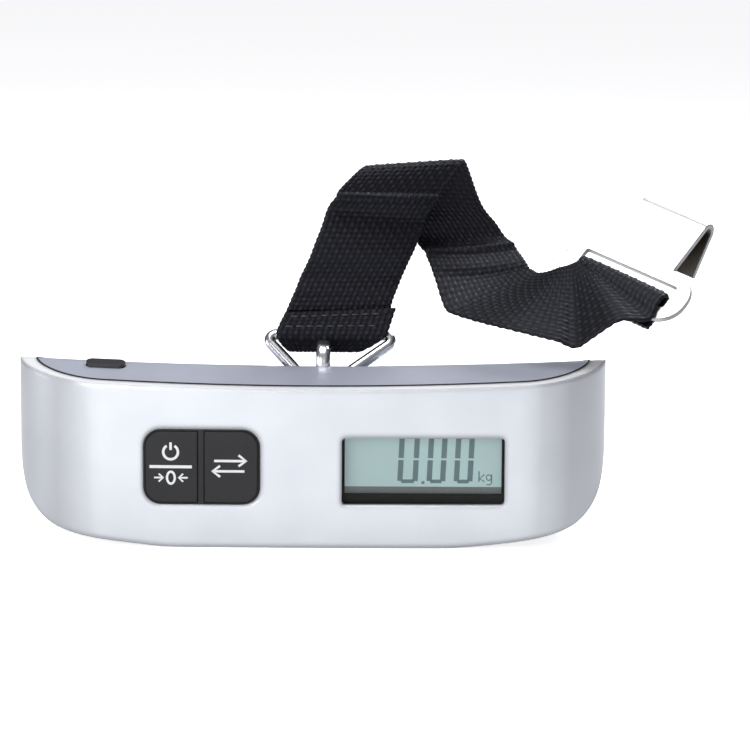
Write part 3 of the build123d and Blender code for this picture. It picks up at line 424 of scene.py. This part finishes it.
# the strap from its tail, round the ring, up the front, over the fold and down to the hook:
# first edge, second edge, bulge of the middle along the surface normal
STATIONS = [
    ((-6.9, 9.75, 52.9), (19.9, 10.9, 54.0), 0.15),
    ((-8.3, 9.45, 50.2), (18.7, 9.95, 50.4), 0.1),
    ((-9.1, 9.15, 47.5), (17.6, 9.15, 47.5), 0.0),
    ((-8.0, 10.2, 45.1), (14.8, 10.2, 45.1), 0.0),
    ((-6.4, 11.6, 43.4), (11.6, 11.6, 43.4), 0.0),
    ((-6.4, 13.1, 43.8), (11.6, 13.1, 43.8), 0.0),
    ((-8.0, 13.5, 45.5), (14.6, 13.5, 45.5), 0.0),
    ((-9.0, 13.15, 47.4), (17.2, 13.15, 47.4), 0.0),
    ((-8.0, 11.9, 50.2), (17.9, 12.5, 50.2), 0.1),
    ((-6.6, 11.2, 53.4), (18.6, 12.45, 53.6), 0.2),
    ((-5.6, 10.76, 55.85), (19.2, 12.6, 55.85), 0.3),        # LOOP_END
    ((-2.4, 9.5, 63.6), (22.2, 14.2, 63.2), 0.5),
    ((0.9, 8.36, 71.75), (25.4, 15.56, 70.6), 0.7),          # FRONT_MIDDLE
    ((5.3, 9.56, 81.85), (29.6, 17.56, 80.2), 0.4),          # FOLD_START
    ((8.6, 11.6, 85.4), (33.0, 19.0, 85.2), 0.1),
    ((11.2, 14.3, 87.4), (35.6, 20.9, 88.3), 0.0),
    ((12.2, 15.9, 87.5), (36.6, 22.5, 88.5), 0.0),
    ((13.4, 17.2, 85.9), (37.4, 23.7, 86.7), 0.1),
    ((18.5, 21.06, 78.25), (41.2, 27.06, 76.85), 0.6),       # FOLD_END
    ((23.0, 21.6, 72.0), (45.2, 27.2, 71.8), 1.0),
    ((26.4, 20.06, 66.95), (49.0, 25.2, 67.25), 1.1),
    ((29.1, 15.06, 61.85), (52.0, 20.2, 63.6), 1.2),
    ((31.0, 10.2, 56.2), (53.6, 17.8, 62.4), 1.0),
    ((32.2, 8.2, 53.8), (54.4, 16.6, 61.8), 0.8),
    ((35.6, 5.6, 52.8), (55.2, 15.4, 61.9), 0.9),
    ((45.0, -1.5, 51.4), (58.0, 12.2, 63.2), 0.9),
    ((53.0, -5.0, 49.9), (59.8, 11.0, 64.1), 0.7),
    ((58.5, -7.0, 48.9), (61.0, 10.4, 64.6), 0.6),
    ((62.6, -7.6, 47.5), (62.5, 10.1, 65.2), 0.6),
    ((67.6, -8.1, 50.6), (63.9, 10.2, 65.8), 0.5),
    ((73.2, -8.5, 54.2), (64.7, 10.5, 66.2), 0.4),
    ((80.3, -7.5, 54.4), at_hook(-12.6, -4.4, 1.7), 0.0),
    (at_hook(12.5, -7.0, 1.9), at_hook(-12.6, -3.6, 1.5), 0.0),
    (at_hook(12.5, -3.9, 1.3), at_hook(-12.6, -2.9, 0.9), 0.0),
    (at_hook(12.5, -2.9, 0.0), at_hook(-12.5, -2.6, 0.0), 0.0),
    (at_hook(12.5, -4.0, -1.6), at_hook(-12.5, -4.0, -1.6), 0.0),
    (at_hook(12.4, -7.5, -2.2), at_hook(-12.4, -7.5, -2.2), 0.0),
    (at_hook(12.3, -12.0, -1.9), at_hook(-12.3, -11.6, -1.7), 0.0),
]
LOOP_END, FRONT_MIDDLE, FOLD_START, FOLD_END = 10, 12, 13, 18   # places in STATIONS

PITCH = 1.30            # one weave cell along the strap
CELLS_ACROSS = 19
CELL_STEPS = 4          # mesh steps per weave cell, both ways
COLUMNS = CELL_STEPS * CELLS_ACROSS + 1
MIDDLE = COLUMNS // 2
SPAN_SAMPLES = 60       # curve samples between stations
THICK = 1.15
HALF_CORE = THICK / 2 - 0.12             # half thickness under the weave
WEAVE_HIGH, WEAVE_LOW = 0.32, 0.19       # heights of raised and sunk threads
SERRATION, SERRATION_MEAN = 0.22, 0.1    # scalloping of the two edges
RIPPLE_LENGTH = 12.5


def catmull(points, samples):
    """Centripetal Catmull-Rom curve, and the fractional station of each of its points."""
    points = np.asarray(points, float)
    padded = np.vstack([2 * points[0] - points[1], points, 2 * points[-1] - points[-2]])
    curve, stations = [], []
    for span in range(len(points) - 1):
        control = padded[span:span + 4]
        chords = np.linalg.norm(np.diff(control, axis=0), axis=1)
        knots = np.concatenate([[0.0], np.cumsum(np.maximum(chords, 1e-6) ** 0.5)])

        def between(t, low, high, start, end):
            share = (t - knots[low]) / (knots[high] - knots[low])
            return (1 - share) * start + share * end

        for k in range(samples):
            t = knots[1] + (knots[2] - knots[1]) * k / samples
            lines = [between(t, j, j + 1, control[j], control[j + 1]) for j in range(3)]
            bends = [between(t, j, j + 2, lines[j], lines[j + 1]) for j in range(2)]
            curve.append(between(t, 1, 2, bends[0], bends[1]))
            stations.append(span + k / samples)
    curve.append(points[-1])
    stations.append(len(points) - 1.0)
    return np.array(curve), np.array(stations)


def unit(vectors):
    return vectors / np.maximum(np.linalg.norm(vectors, axis=2, keepdims=True), 1e-9)


def soften(values, reach):
    """Running mean along the length, over reach rows each way."""
    kernel = np.ones(2 * reach + 1) / (2 * reach + 1)
    padded = np.concatenate([np.repeat(values[:1], reach, 0), values,
                             np.repeat(values[-1:], reach, 0)])
    flat = padded.reshape(len(padded), -1)
    means = [np.convolve(column, kernel, mode="valid") for column in flat.T]
    return np.stack(means, 1).reshape(values.shape)


def soft_normals(grid, reach):
    along, across = np.gradient(grid, axis=0), np.gradient(grid, axis=1)
    return unit(soften(unit(np.cross(across, along)), reach))


# rows spaced evenly along the strap's middle line
first_curve, curve_station = catmull([s[0] for s in STATIONS], SPAN_SAMPLES)
second_curve, _ = catmull([s[1] for s in STATIONS], SPAN_SAMPLES)
middle_line = (first_curve + second_curve) / 2
steps = np.linalg.norm(np.diff(middle_line, axis=0), axis=1)
arc_length = np.concatenate([[0], np.cumsum(steps)])
last_row = int(round(arc_length[-1] / (PITCH / CELL_STEPS)))
distance = np.linspace(0, arc_length[-1], last_row + 1)
first_edge, second_edge = (
    np.stack([np.interp(distance, arc_length, curve[:, k]) for k in range(3)], 1)
    for curve in (first_curve, second_curve))
station = np.interp(distance, arc_length, curve_station)
bulge = np.interp(station, range(len(STATIONS)), [s[2] for s in STATIONS])

# flat sheet between the edges; across runs from -1 to 1
across = np.linspace(-1, 1, COLUMNS)
serration = SERRATION * np.abs(np.sin(np.pi * distance / PITCH))
width = np.linalg.norm(second_edge - first_edge, axis=1)
gain = 1 + 2 * (serration - SERRATION_MEAN) / width
share = 0.5 + 0.5 * across[None, :] * gain[:, None]
sheet = (first_edge[:, None, :]
         + (second_edge - first_edge)[:, None, :] * share[:, :, None])
sheet_normals = soft_normals(sheet, 3)


def row_of(place):
    """Row nearest a station."""
    return int(np.argmin(np.abs(station - place)))


def crease(at, height, reach, lean=0.0):
    """A soft ridge or hollow across the strap, slanted by lean stations from middle to edge."""
    away = station[:, None] - (at + lean * across[None, :])
    return height * np.exp(-(away / reach) ** 2)


# ripples down the rear run, and creases measured towards the front of the front run
ripple = np.interp(station, [FOLD_END - 1, FOLD_END + 0.5, FOLD_END + 4, FOLD_END + 6],
                   [0, 0.35, 0.45, 0.1])
relief = (ripple[:, None] * np.sin(2 * np.pi * distance / RIPPLE_LENGTH)[:, None]
          * (1 - 0.5 * across[None, :] ** 2))
frontward = 1.0 if sheet_normals[row_of(FRONT_MIDDLE), MIDDLE][1] < 0 else -1.0
CREASES = [   # station, height, reach and lean in stations
    (12.95, 1.15, 0.13, 0.05), (12.5, -0.95, 0.25, -0.1), (11.5, 0.55, 0.35, 0.12),
    (10.75, -0.30, 0.16, 0.0), (10.35, 0.25, 0.12, 0.0), (FOLD_END + 2.0, -0.95, 0.18, -0.1),
    (FOLD_END + 1.3, 0.7, 0.4, 0.0), (FOLD_END + 3.2, 0.5, 0.35, 0.2),
]
for entry in CREASES:
    relief = relief + frontward * crease(*entry)
relief = relief + bulge[:, None] * (1 - across[None, :] ** 2)
sheet = sheet + sheet_normals * relief[:, :, None]
normals = soft_normals(sheet, 2)

# checkerboard weave: where one face has a raised thread the other has a sunk one
cell_along = distance / PITCH
cell_across = (across * 0.5 + 0.5) * (COLUMNS - 1) / CELL_STEPS
parity = (np.floor(cell_along)[:, None] + np.floor(cell_across + 1e-6)[None, :]) % 2
hump = (np.sqrt(np.abs(np.sin(np.pi * (cell_along % 1.0))))[:, None]
        * np.sqrt(np.abs(np.sin(np.pi * (cell_across % 1.0))))[None, :])
weave_out = hump * np.where(parity < 0.5, WEAVE_HIGH, WEAVE_LOW)
weave_in = hump * np.where(parity < 0.5, WEAVE_LOW, WEAVE_HIGH)
core = (HALF_CORE * np.sqrt(1 - 0.92 * np.abs(across) ** 10))[None, :]   # thins at the edges
outer_face = sheet + normals * (core + weave_out)[:, :, None]
inner_face = sheet - normals * (core + weave_in)[:, :, None]


# ------------------------------------------------------------------ strap pieces
def strap_piece(name, start, end, cap_start=False, cap_end=False):
    """Rows start..end of the strap as one sleeve of webbing."""
    rows = slice(start, end + 1)
    sleeve = np.concatenate([outer_face[rows], inner_face[rows][:, ::-1]], axis=1)
    weave = np.concatenate([weave_out[rows], weave_in[rows][:, ::-1]], axis=1)
    count, around = sleeve.shape[:2]
    index = np.arange(count * around).reshape(count, around)
    beside = np.roll(index, -1, axis=1)
    quads = np.stack([index[:-1], beside[:-1], beside[1:], index[1:]], axis=-1)
    faces = quads.reshape(-1, 4).tolist()
    for capped, ring in ((cap_start, index[0]), (cap_end, index[-1])):
        if capped:
            for j in range(COLUMNS - 1):
                faces.append([ring[j], ring[j + 1], ring[around - 2 - j], ring[around - 1 - j]])
    ob = new_mesh(name, sleeve.reshape(-1, 3), faces, "webbing_black",
                  weave=weave.reshape(-1) / WEAVE_HIGH)
    return ob


# the strap's level direction through the fold
FOLD_DIRECTION = np.array([-0.28, 0.96, 0.0])
FOLD_DIRECTION /= np.linalg.norm(FOLD_DIRECTION)

loop_end, fold_start, fold_end = row_of(LOOP_END), row_of(FOLD_START), row_of(FOLD_END)
ring_loop = strap_piece("strap_ring_loop", 0, loop_end, cap_start=True)
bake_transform(ring_loop)
front_run = strap_piece("strap_front_run", loop_end, fold_start)
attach(front_run, "strap_lower")
fold = strap_piece("strap_fold_top", fold_start, fold_end)
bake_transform(fold)
rear_run = strap_piece("strap_rear_run", fold_end, last_row, cap_end=True)
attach(rear_run, "strap_upper")
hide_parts("strap_lower")
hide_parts("strap_upper")

# ------------------------------------------------------------------ stitching
STITCH_ROWS = (4, 13)
STITCH_COLUMNS = 5      # columns one stitch spans
STITCH_STRIDE = 7
STITCH_MARGIN = 5       # columns left free at each edge
STITCH_LIFT = 0.34      # thread ends above the core
STITCH_BOW = 0.22       # rise of a thread's middle
STITCH_SINK = 0.03
STITCH_RADIUS = 0.2
STRAND_SIDES = 6
STRAND_STEPS = 6


def strand(start, end, normal, base):
    """One bowed six-sided thread; its faces count vertices from base."""
    verts, faces = [], []
    direction = (end - start) / np.linalg.norm(end - start)
    sideways = np.cross(normal, direction)
    sideways /= np.linalg.norm(sideways)
    for k in range(STRAND_STEPS + 1):
        t = k / STRAND_STEPS
        rise = STITCH_BOW * math.sin(math.pi * t) - STITCH_SINK
        centre = start + (end - start) * t + normal * rise
        taper = 0.45 + 0.55 * math.sin(math.pi * min(max(t, 0.08), 0.92))
        for q in range(STRAND_SIDES):
            angle = 2 * math.pi * q / STRAND_SIDES
            spoke = sideways * math.cos(angle) + normal * math.sin(angle)
            verts.append(centre + spoke * STITCH_RADIUS * taper)
    for k in range(STRAND_STEPS):
        low = base + k * STRAND_SIDES
        high = low + STRAND_SIDES
        for q in range(STRAND_SIDES):
            after = (q + 1) % STRAND_SIDES
            faces.append([low + q, low + after, high + after, high + q])
    last = base + STRAND_STEPS * STRAND_SIDES
    faces.append([base + q for q in range(STRAND_SIDES)])
    faces.append([last + q for q in reversed(range(STRAND_SIDES))])
    return verts, faces


def ring_stitching():
    """Two rows of stitches, on the face that looks forward near the tail."""
    facing = normals if normals[6, MIDDLE][1] < 0 else -normals
    top = sheet + facing * (HALF_CORE + STITCH_LIFT)
    last_start = COLUMNS - 1 - STITCH_MARGIN - STITCH_COLUMNS
    verts, faces = [], []
    for row in STITCH_ROWS:
        for column in range(STITCH_MARGIN, last_start, STITCH_STRIDE):
            end = column + STITCH_COLUMNS
            more_verts, more_faces = strand(top[row, column], top[row, end],
                                            facing[row, (column + end) // 2], len(verts))
            verts += more_verts
            faces += more_faces
    return new_mesh("strap_ring_stitching", verts, faces, "strap_thread")


thread()
seam = ring_stitching()
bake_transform(seam)


# ------------------------------------------------------------------ stroke helpers
# A stroke is (points in (x, z), width, closed).
def straight(start, end, count):
    """Points along a line, in count equal parts."""
    start, end = np.array(start, float), np.array(end, float)
    return [start + (end - start) * i / count for i in range(count + 1)]


def arc(x, z, radius_x, radius_z, start, end, count):
    """Points along an elliptical arc, angles in degrees."""
    angles = [math.radians(start + (end - start) * i / count) for i in range(count + 1)]
    return [(x + radius_x * math.cos(a), z + radius_z * math.sin(a)) for a in angles]


def oval(x, z, radius_x, radius_z, count):
    return arc(x, z, radius_x, radius_z, 0, 360, count)[:-1]


def band(points, stroke_width, closed):
    """A stroke's outline vertices in (x, z), and its quads."""
    points = [np.array(point, float) for point in points]
    count = len(points)
    verts, quads = [], []
    for i in range(count):
        before = points[i - 1] if (i > 0 or closed) else points[i]
        after = points[(i + 1) % count] if (i < count - 1 or closed) else points[i]
        along = after - before
        along /= max(np.linalg.norm(along), 1e-9)
        offset = np.array([-along[1], along[0]]) * stroke_width / 2
        verts += [points[i] + offset, points[i] - offset]
    for i in range(count if closed else count - 1):
        j = (i + 1) % count
        quads.append([2 * i, 2 * i + 1, 2 * j + 1, 2 * j])
    return verts, quads


def legend(name, strokes, y_of, thick, material_name, body):
    """Strokes laid on the surface y_of(x), each a closed solid reaching thick towards +y."""
    verts, faces = [], []
    for stroke in strokes:
        outline, quads = band(*stroke)
        base, count = len(verts), len(outline)
        for depth in (0.0, thick):
            verts += [(x, y_of(x) + depth, z) for x, z in outline]
        rim = {}                                    # edges that belong to one quad only
        for quad in quads:
            faces.append([base + i for i in quad])
            faces.append([base + count + i for i in reversed(quad)])
            for i, j in zip(quad, quad[1:] + quad[:1]):
                if (j, i) in rim:
                    del rim[(j, i)]
                else:
                    rim[(i, j)] = True
        for i, j in rim:
            faces.append([base + i, base + j, base + count + j, base + count + i])
    ob = new_mesh(name, verts, faces, material_name, smooth=False)
    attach(ob, body)


# ------------------------------------------------------------------ key legends
KEY_FRONT = 15.28                        # the keys' front face at x = 0 lies this far forward
INK_PROUD, INK_THICK = 0.035, 0.09


def ink_y(x):
    """Front of the ink on the keys, whose faces follow the bar's bow."""
    return -(KEY_FRONT - BAR_BOW * (x / BAR_FLAT) ** 2) - INK_PROUD


def power_strokes():
    """Power sign over a bar, and below them a nought between two inward arrows."""
    x, z = -33.55, 23.1                  # centre of the power sign
    strokes = [(arc(x, z, 1.75, 1.75, 122, 418, 40), 0.62, False),
               (straight((x, z + 2.35), (x, z + 0.5), 4), 0.62, False),
               (straight((-38.6, 19.55), (-28.5, 19.55), 16), 0.72, False)]
    x, z = -33.5, 16.9                   # centre of the nought
    strokes.append((oval(x, z, 0.92, 1.45, 32), 0.55, True))
    for side in (-1, 1):
        barb = x + side * 2.9
        strokes += [
            (straight((x + side * 4.0, z), (x + side * 1.9, z), 4), 0.42, False),
            ([(barb, z + 0.95), (x + side * 1.85, z), (barb, z - 0.95)], 0.42, False)]
    return strokes


def unit_strokes():
    """Two opposed arrows, the upper one pointing right."""
    x, z = -19.6, 19.9
    strokes = []
    # direction, then heights of the shaft and of the head's upper and lower barbs
    for side, shaft, upper, lower in ((1, 1.15, 2.55, -0.1), (-1, -1.35, -0.05, -2.7)):
        barb = x + side * 2.2
        strokes += [
            (straight((x - side * 3.6, z + shaft), (x + side * 3.9, z + shaft), 8), 0.6, False),
            ([(barb, z + upper), (x + side * 4.0, z + shaft), (barb, z + lower)], 0.6, False)]
    return strokes


ink("key_ink", (0.86, 0.86, 0.87))
legend("legend_power_key", power_strokes(), ink_y, INK_THICK, "key_ink", "power_key")
legend("legend_unit_key", unit_strokes(), ink_y, INK_THICK, "key_ink", "unit_key")

# ------------------------------------------------------------------ display contents
DIGIT_BOTTOM, DIGIT_TOP = 14.9, 26.6
DIGIT_SPANS = ((20.6, 25.5), (27.6, 32.1), (34.1, 38.6))   # left and right x of each digit
DIGIT_STROKE = 1.28
DIGIT_SLANT = 0.55      # sideways lean from bottom to top
HALF_GAP = 0.25         # half the gap between upper and lower segments
DISPLAY_THICK = 0.02

front_glass = [[c / MM for c in corner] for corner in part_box("lcd_front_glass")]
rear_glass = [[c / MM for c in corner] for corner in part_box("lcd_rear_glass")]
DISPLAY_Y = front_glass[1][1] + 0.01     # just behind the front glass


def digit_zero(left, right):
    """A slanted nought of four upright and two level segments."""
    middle = (DIGIT_BOTTOM + DIGIT_TOP) / 2
    stroke = DIGIT_STROKE

    def lean(x, z):
        return x + DIGIT_SLANT * (z - middle) / (DIGIT_TOP - DIGIT_BOTTOM)

    strokes = []
    for x in (left + stroke / 2, right - stroke / 2):
        for low, high in ((middle + HALF_GAP, DIGIT_TOP - stroke * 0.6),
                          (DIGIT_BOTTOM + stroke * 0.4, middle - HALF_GAP)):
            strokes.append(([(lean(x, low), low), (lean(x, high), high)], stroke, False))
    for end, inward in ((DIGIT_BOTTOM, 1), (DIGIT_TOP, -1)):
        lean_z, z = end + inward * stroke / 2, end + inward * stroke * 0.35
        strokes.append(([(lean(left + stroke * 0.7, lean_z), z),
                         (lean(right - stroke * 0.7, lean_z), z)], stroke * 0.7, False))
    return strokes


def kg_strokes():
    """The letters kg: stem and arms of the k, bowl and tail of the g."""
    x, z = 39.9, 15.3                    # foot of the k's stem
    return [
        ([(x, z), (x, z + 2.6)], 0.34, False),
        ([(x + 1.25, z + 1.75), (x + 0.15, z + 0.8), (x + 1.35, z)], 0.3, False),
        (oval(x + 2.35, z + 1.05, 0.6, 0.68, 16), 0.28, True),
        ([(x + 3.0, z + 1.8), (x + 3.0, z - 0.3), (x + 2.6, z - 0.75), (x + 1.85, z - 0.65)],
         0.3, False)]


def ledge_strokes():
    """Level strip below the rear glass, across the front glass."""
    bottom, top = front_glass[0][2] + 0.1, rear_glass[0][2] + 0.05
    left, right = front_glass[0][0] + 0.15, front_glass[1][0] - 0.15
    z = (bottom + top) / 2
    return [(straight((left, z), (right, z), 6), top - bottom, False)]


def display_y(x):
    return DISPLAY_Y


segments = [stroke for digit in DIGIT_SPANS for stroke in digit_zero(*digit)]
point_z = DIGIT_BOTTOM + 0.15
segments.append(([(26.15, point_z), (26.85, point_z)], 0.7, False))     # decimal point
segments += kg_strokes()
# painted light: the segments glow faintly
ink("lcd_segment", srgb(112, 126, 131), rough=0.4, glow=0.30)
legend("display_segments", segments, display_y, DISPLAY_THICK, "lcd_segment",
       "housing")
# painted light: the ledge glows faintly
ink("lcd_ledge", srgb(118, 115, 117), rough=0.45, glow=0.37)
legend("display_contact_ledge", ledge_strokes(), display_y, DISPLAY_THICK, "lcd_ledge",
       "housing")

# ------------------------------------------------------------------ black gasket bead round the deck, also a painted seam shadow
DECK_HALF_LENGTH, DECK_HALF_DEPTH = 66.6, 12.8
HANDLE = 0.552              # Bezier handle as a share of a quarter turn's reach
CORNER_POINTS, SIDE_POINTS = 26, 44
ROOF_LOW, ROOF_RADIUS = 41.7, 1290.0     # lowest height and lengthwise radius of the top
ROOF_RIDGE_Y = -1.0
# bead cross-section: offset outwards from the outline, height above the roof
BEAD_PROFILE = [(-0.40, -1.30), (-0.40, 0.12), (-0.32, 0.21), (-0.21, 0.26),
                (-0.10, 0.21), (-0.03, 0.08), (-0.03, -1.30)]


def plan_points():
    """The deck's outline seen from above, anticlockwise from the right-hand end."""
    side_end = DECK_HALF_DEPTH - BAR_BOW             # y where a long side meets a corner
    reach = HANDLE * (DECK_HALF_LENGTH - BAR_FLAT)
    slope = 2 * BAR_BOW / BAR_FLAT
    radius = (BAR_FLAT ** 2 + BAR_BOW ** 2) / (2 * BAR_BOW)

    def corner(sign_x, sign_y):
        handles = np.array([(DECK_HALF_LENGTH, 0), (DECK_HALF_LENGTH, (1 - HANDLE) * side_end),
                            (BAR_FLAT + reach, side_end - slope * reach), (BAR_FLAT, side_end)])
        handles = handles * (sign_x, sign_y)
        if sign_x * sign_y < 0:                      # keeps the outline anticlockwise
            handles = handles[::-1]
        t = np.linspace(0, 1, CORNER_POINTS, endpoint=False)[:, None]
        return ((1 - t) ** 3 * handles[0] + 3 * (1 - t) ** 2 * t * handles[1]
                + 3 * (1 - t) * t ** 2 * handles[2] + t ** 3 * handles[3])

    def long_side(sign):
        x = np.linspace(BAR_FLAT, -BAR_FLAT, SIDE_POINTS, endpoint=False) * sign
        y = sign * (DECK_HALF_DEPTH - (radius - np.sqrt(radius ** 2 - x ** 2)))
        return np.stack([x, y], 1)

    return np.concatenate([corner(1, 1), long_side(1), corner(-1, 1),
                           corner(-1, -1), long_side(-1), corner(1, -1)])


def roof_z(x, y, lift):
    """Height of the saddle-shaped top: it falls either side of a ridge with a shallow groove."""
    behind = y - ROOF_RIDGE_Y
    height = -0.255 * np.maximum(-behind, 0) - 0.222 * np.maximum(behind, 0) + lift
    height = height - 0.22 * np.exp(-(behind / 1.1) ** 2)
    return ROOF_LOW + ROOF_RADIUS - np.sqrt((ROOF_RADIUS - height) ** 2 - x ** 2)


# the black bead also stands in for the shadow in the seam between deck and rim
def gasket_and_seam_shade_bead():
    outline = plan_points()
    tangent = np.roll(outline, -1, 0) - np.roll(outline, 1, 0)
    tangent /= np.linalg.norm(tangent, axis=1)[:, None]
    outward = np.stack([tangent[:, 1], -tangent[:, 0]], 1)
    verts, faces = [], []
    for offset, lift in BEAD_PROFILE:
        verts += [(x, y, roof_z(x, y, lift)) for x, y in outline + outward * offset]
    around, levels = len(outline), len(BEAD_PROFILE)
    for k in range(levels):
        this, following = k * around, (k + 1) % levels * around
        for i in range(around):
            j = (i + 1) % around
            faces.append((this + i, this + j, following + j, following + i))
    return new_mesh("deck_gasket_and_seam_shade", verts, faces, "black_rubber")


bead = gasket_and_seam_shade_bead()
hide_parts("deck_gasket")
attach(bead, "housing")

# ------------------------------------------------------------------ floor (metres from here on)
FLOOR_RADIUS, FLOOR_SIDES, FLOOR_Z = 6.0, 24, -0.0001
scene = bpy.context.scene


def make_floor():
    """A disc of triangles about the origin."""
    angles = [2 * math.pi * i / FLOOR_SIDES for i in range(FLOOR_SIDES)]
    verts = [(0.0, 0.0, FLOOR_Z)]
    verts += [(FLOOR_RADIUS * math.cos(a), FLOOR_RADIUS * math.sin(a), FLOOR_Z) for a in angles]
    faces = [(0, 1 + i, 1 + (i + 1) % FLOOR_SIDES) for i in range(FLOOR_SIDES)]
    mesh = bpy.data.meshes.new("floor")
    mesh.from_pydata(verts, [], faces)
    floor = bpy.data.objects.new("floor", mesh)
    floor_material()
    mesh.materials.append(MATERIALS["floor"])
    scene.collection.objects.link(floor)
    return floor


make_floor()


# ------------------------------------------------------------------ world
def make_world():
    """Grey surround whose brightness varies along each axis."""
    world = bpy.data.worlds.new("studio")
    scene.world = world
    world.use_nodes = True
    w = Graph(world.node_tree, "ShaderNodeOutputWorld")
    background = w.node("ShaderNodeBackground", Strength=0.385)
    w.link(background.outputs[0], w.out.inputs[0])
    axes = w.node("ShaderNodeSeparateXYZ")
    w.link(w.coords.outputs["Generated"], axes.inputs[0])
    x, y, z = axes.outputs

    def brightness(factor, stops):
        """Ramp of slightly blue greys."""
        return w.ramp(factor, [(place, (c, c, c * 1.02)) for place, c in stops])

    def halved(axis):
        """Map -1..1 to 0..1."""
        return w.math("ADD", w.math("MULTIPLY", axis, 0.5), 0.5)

    left_to_right = brightness(w.math("MULTIPLY_ADD", x, 0.5, 0.5), [
        (0.0, 0.35), (0.15, 0.75), (0.32, 1.1), (0.5, 0.95), (0.72, 0.70), (0.86, 0.25),
        (1.0, 0.15)])
    front_to_back = brightness(halved(y), [(0.0, 1.0), (0.35, 0.92), (0.6, 0.62), (1.0, 0.5)])
    low_to_high = brightness(halved(z), [
        (0.0, 0.9), (0.49, 0.9), (0.56, 0.82), (0.75, 0.9), (1.0, 0.85)])
    level = w.multiply(left_to_right, front_to_back)
    w.link(w.multiply(level, low_to_high), background.inputs[0])


make_world()

# ------------------------------------------------------------------ lights
COOL = (0.95, 0.97, 1.0)


def area(name, place, target, size, power, color, size_y=None):
    """Area light aimed at a target; square unless size_y is given."""
    light = bpy.data.lights.new(name, "AREA")
    light.energy = power
    light.color = color
    light.size = size
    if size_y:
        light.shape = "RECTANGLE"
        light.size_y = size_y
    ob = bpy.data.objects.new(name, light)
    ob.location = place
    aim = Vector(target) - Vector(place)
    ob.rotation_euler = aim.to_track_quat("-Z", "Y").to_euler()
    scene.collection.objects.link(ob)


area("key_softbox", place=(-0.17, -0.42, 0.16), target=(-0.03, 0, 0.03),
     size=0.22, size_y=0.24, power=0.64, color=(1.0, 0.995, 0.985))
area("top_softbox", place=(-0.12, -0.16, 0.85), target=(0.03, 0, 0.05),
     size=0.42, power=3.1, color=(0.97, 0.985, 1.0))
area("top_right_card", place=(0.35, 0.30, 0.55), target=(0.04, 0, 0.04),
     size=0.35, power=2.6, color=COOL)
area("deck_card", place=(0.30, 0.80, 0.32), target=(0.05, 0, 0.04),
     size=0.35, power=1.1, color=COOL)
area("left_card", place=(-0.60, -0.16, 0.12), target=(-0.06, 0, 0.025),
     size=0.30, power=0.88, color=COOL)

# ------------------------------------------------------------------ camera
CAMERA_TARGET = Vector((0.0149, -0.001, 0.0395))
CAMERA_DISTANCE = 0.9
CAMERA_ELEVATION = math.radians(10.0)
CAMERA_ROLL = math.radians(0.32)


def make_camera():
    """Long lens looking at the front from a little above."""
    lens = bpy.data.cameras.new("camera")
    lens.sensor_width = 36.0
    lens.lens = 179.7
    lens.clip_start = 0.01
    lens.clip_end = 30.0
    camera = bpy.data.objects.new("camera", lens)
    back = Vector((0, -math.cos(CAMERA_ELEVATION), math.sin(CAMERA_ELEVATION)))
    place = CAMERA_TARGET + back * CAMERA_DISTANCE
    aim = (CAMERA_TARGET - place).to_track_quat("-Z", "Y").to_matrix().to_4x4()
    camera.matrix_world = Matrix.Translation(place) @ aim @ Matrix.Rotation(CAMERA_ROLL, 4, "Z")
    scene.collection.objects.link(camera)
    scene.camera = camera


make_camera()
scene.view_settings.view_transform = "Standard"
scene.view_settings.look = "None"
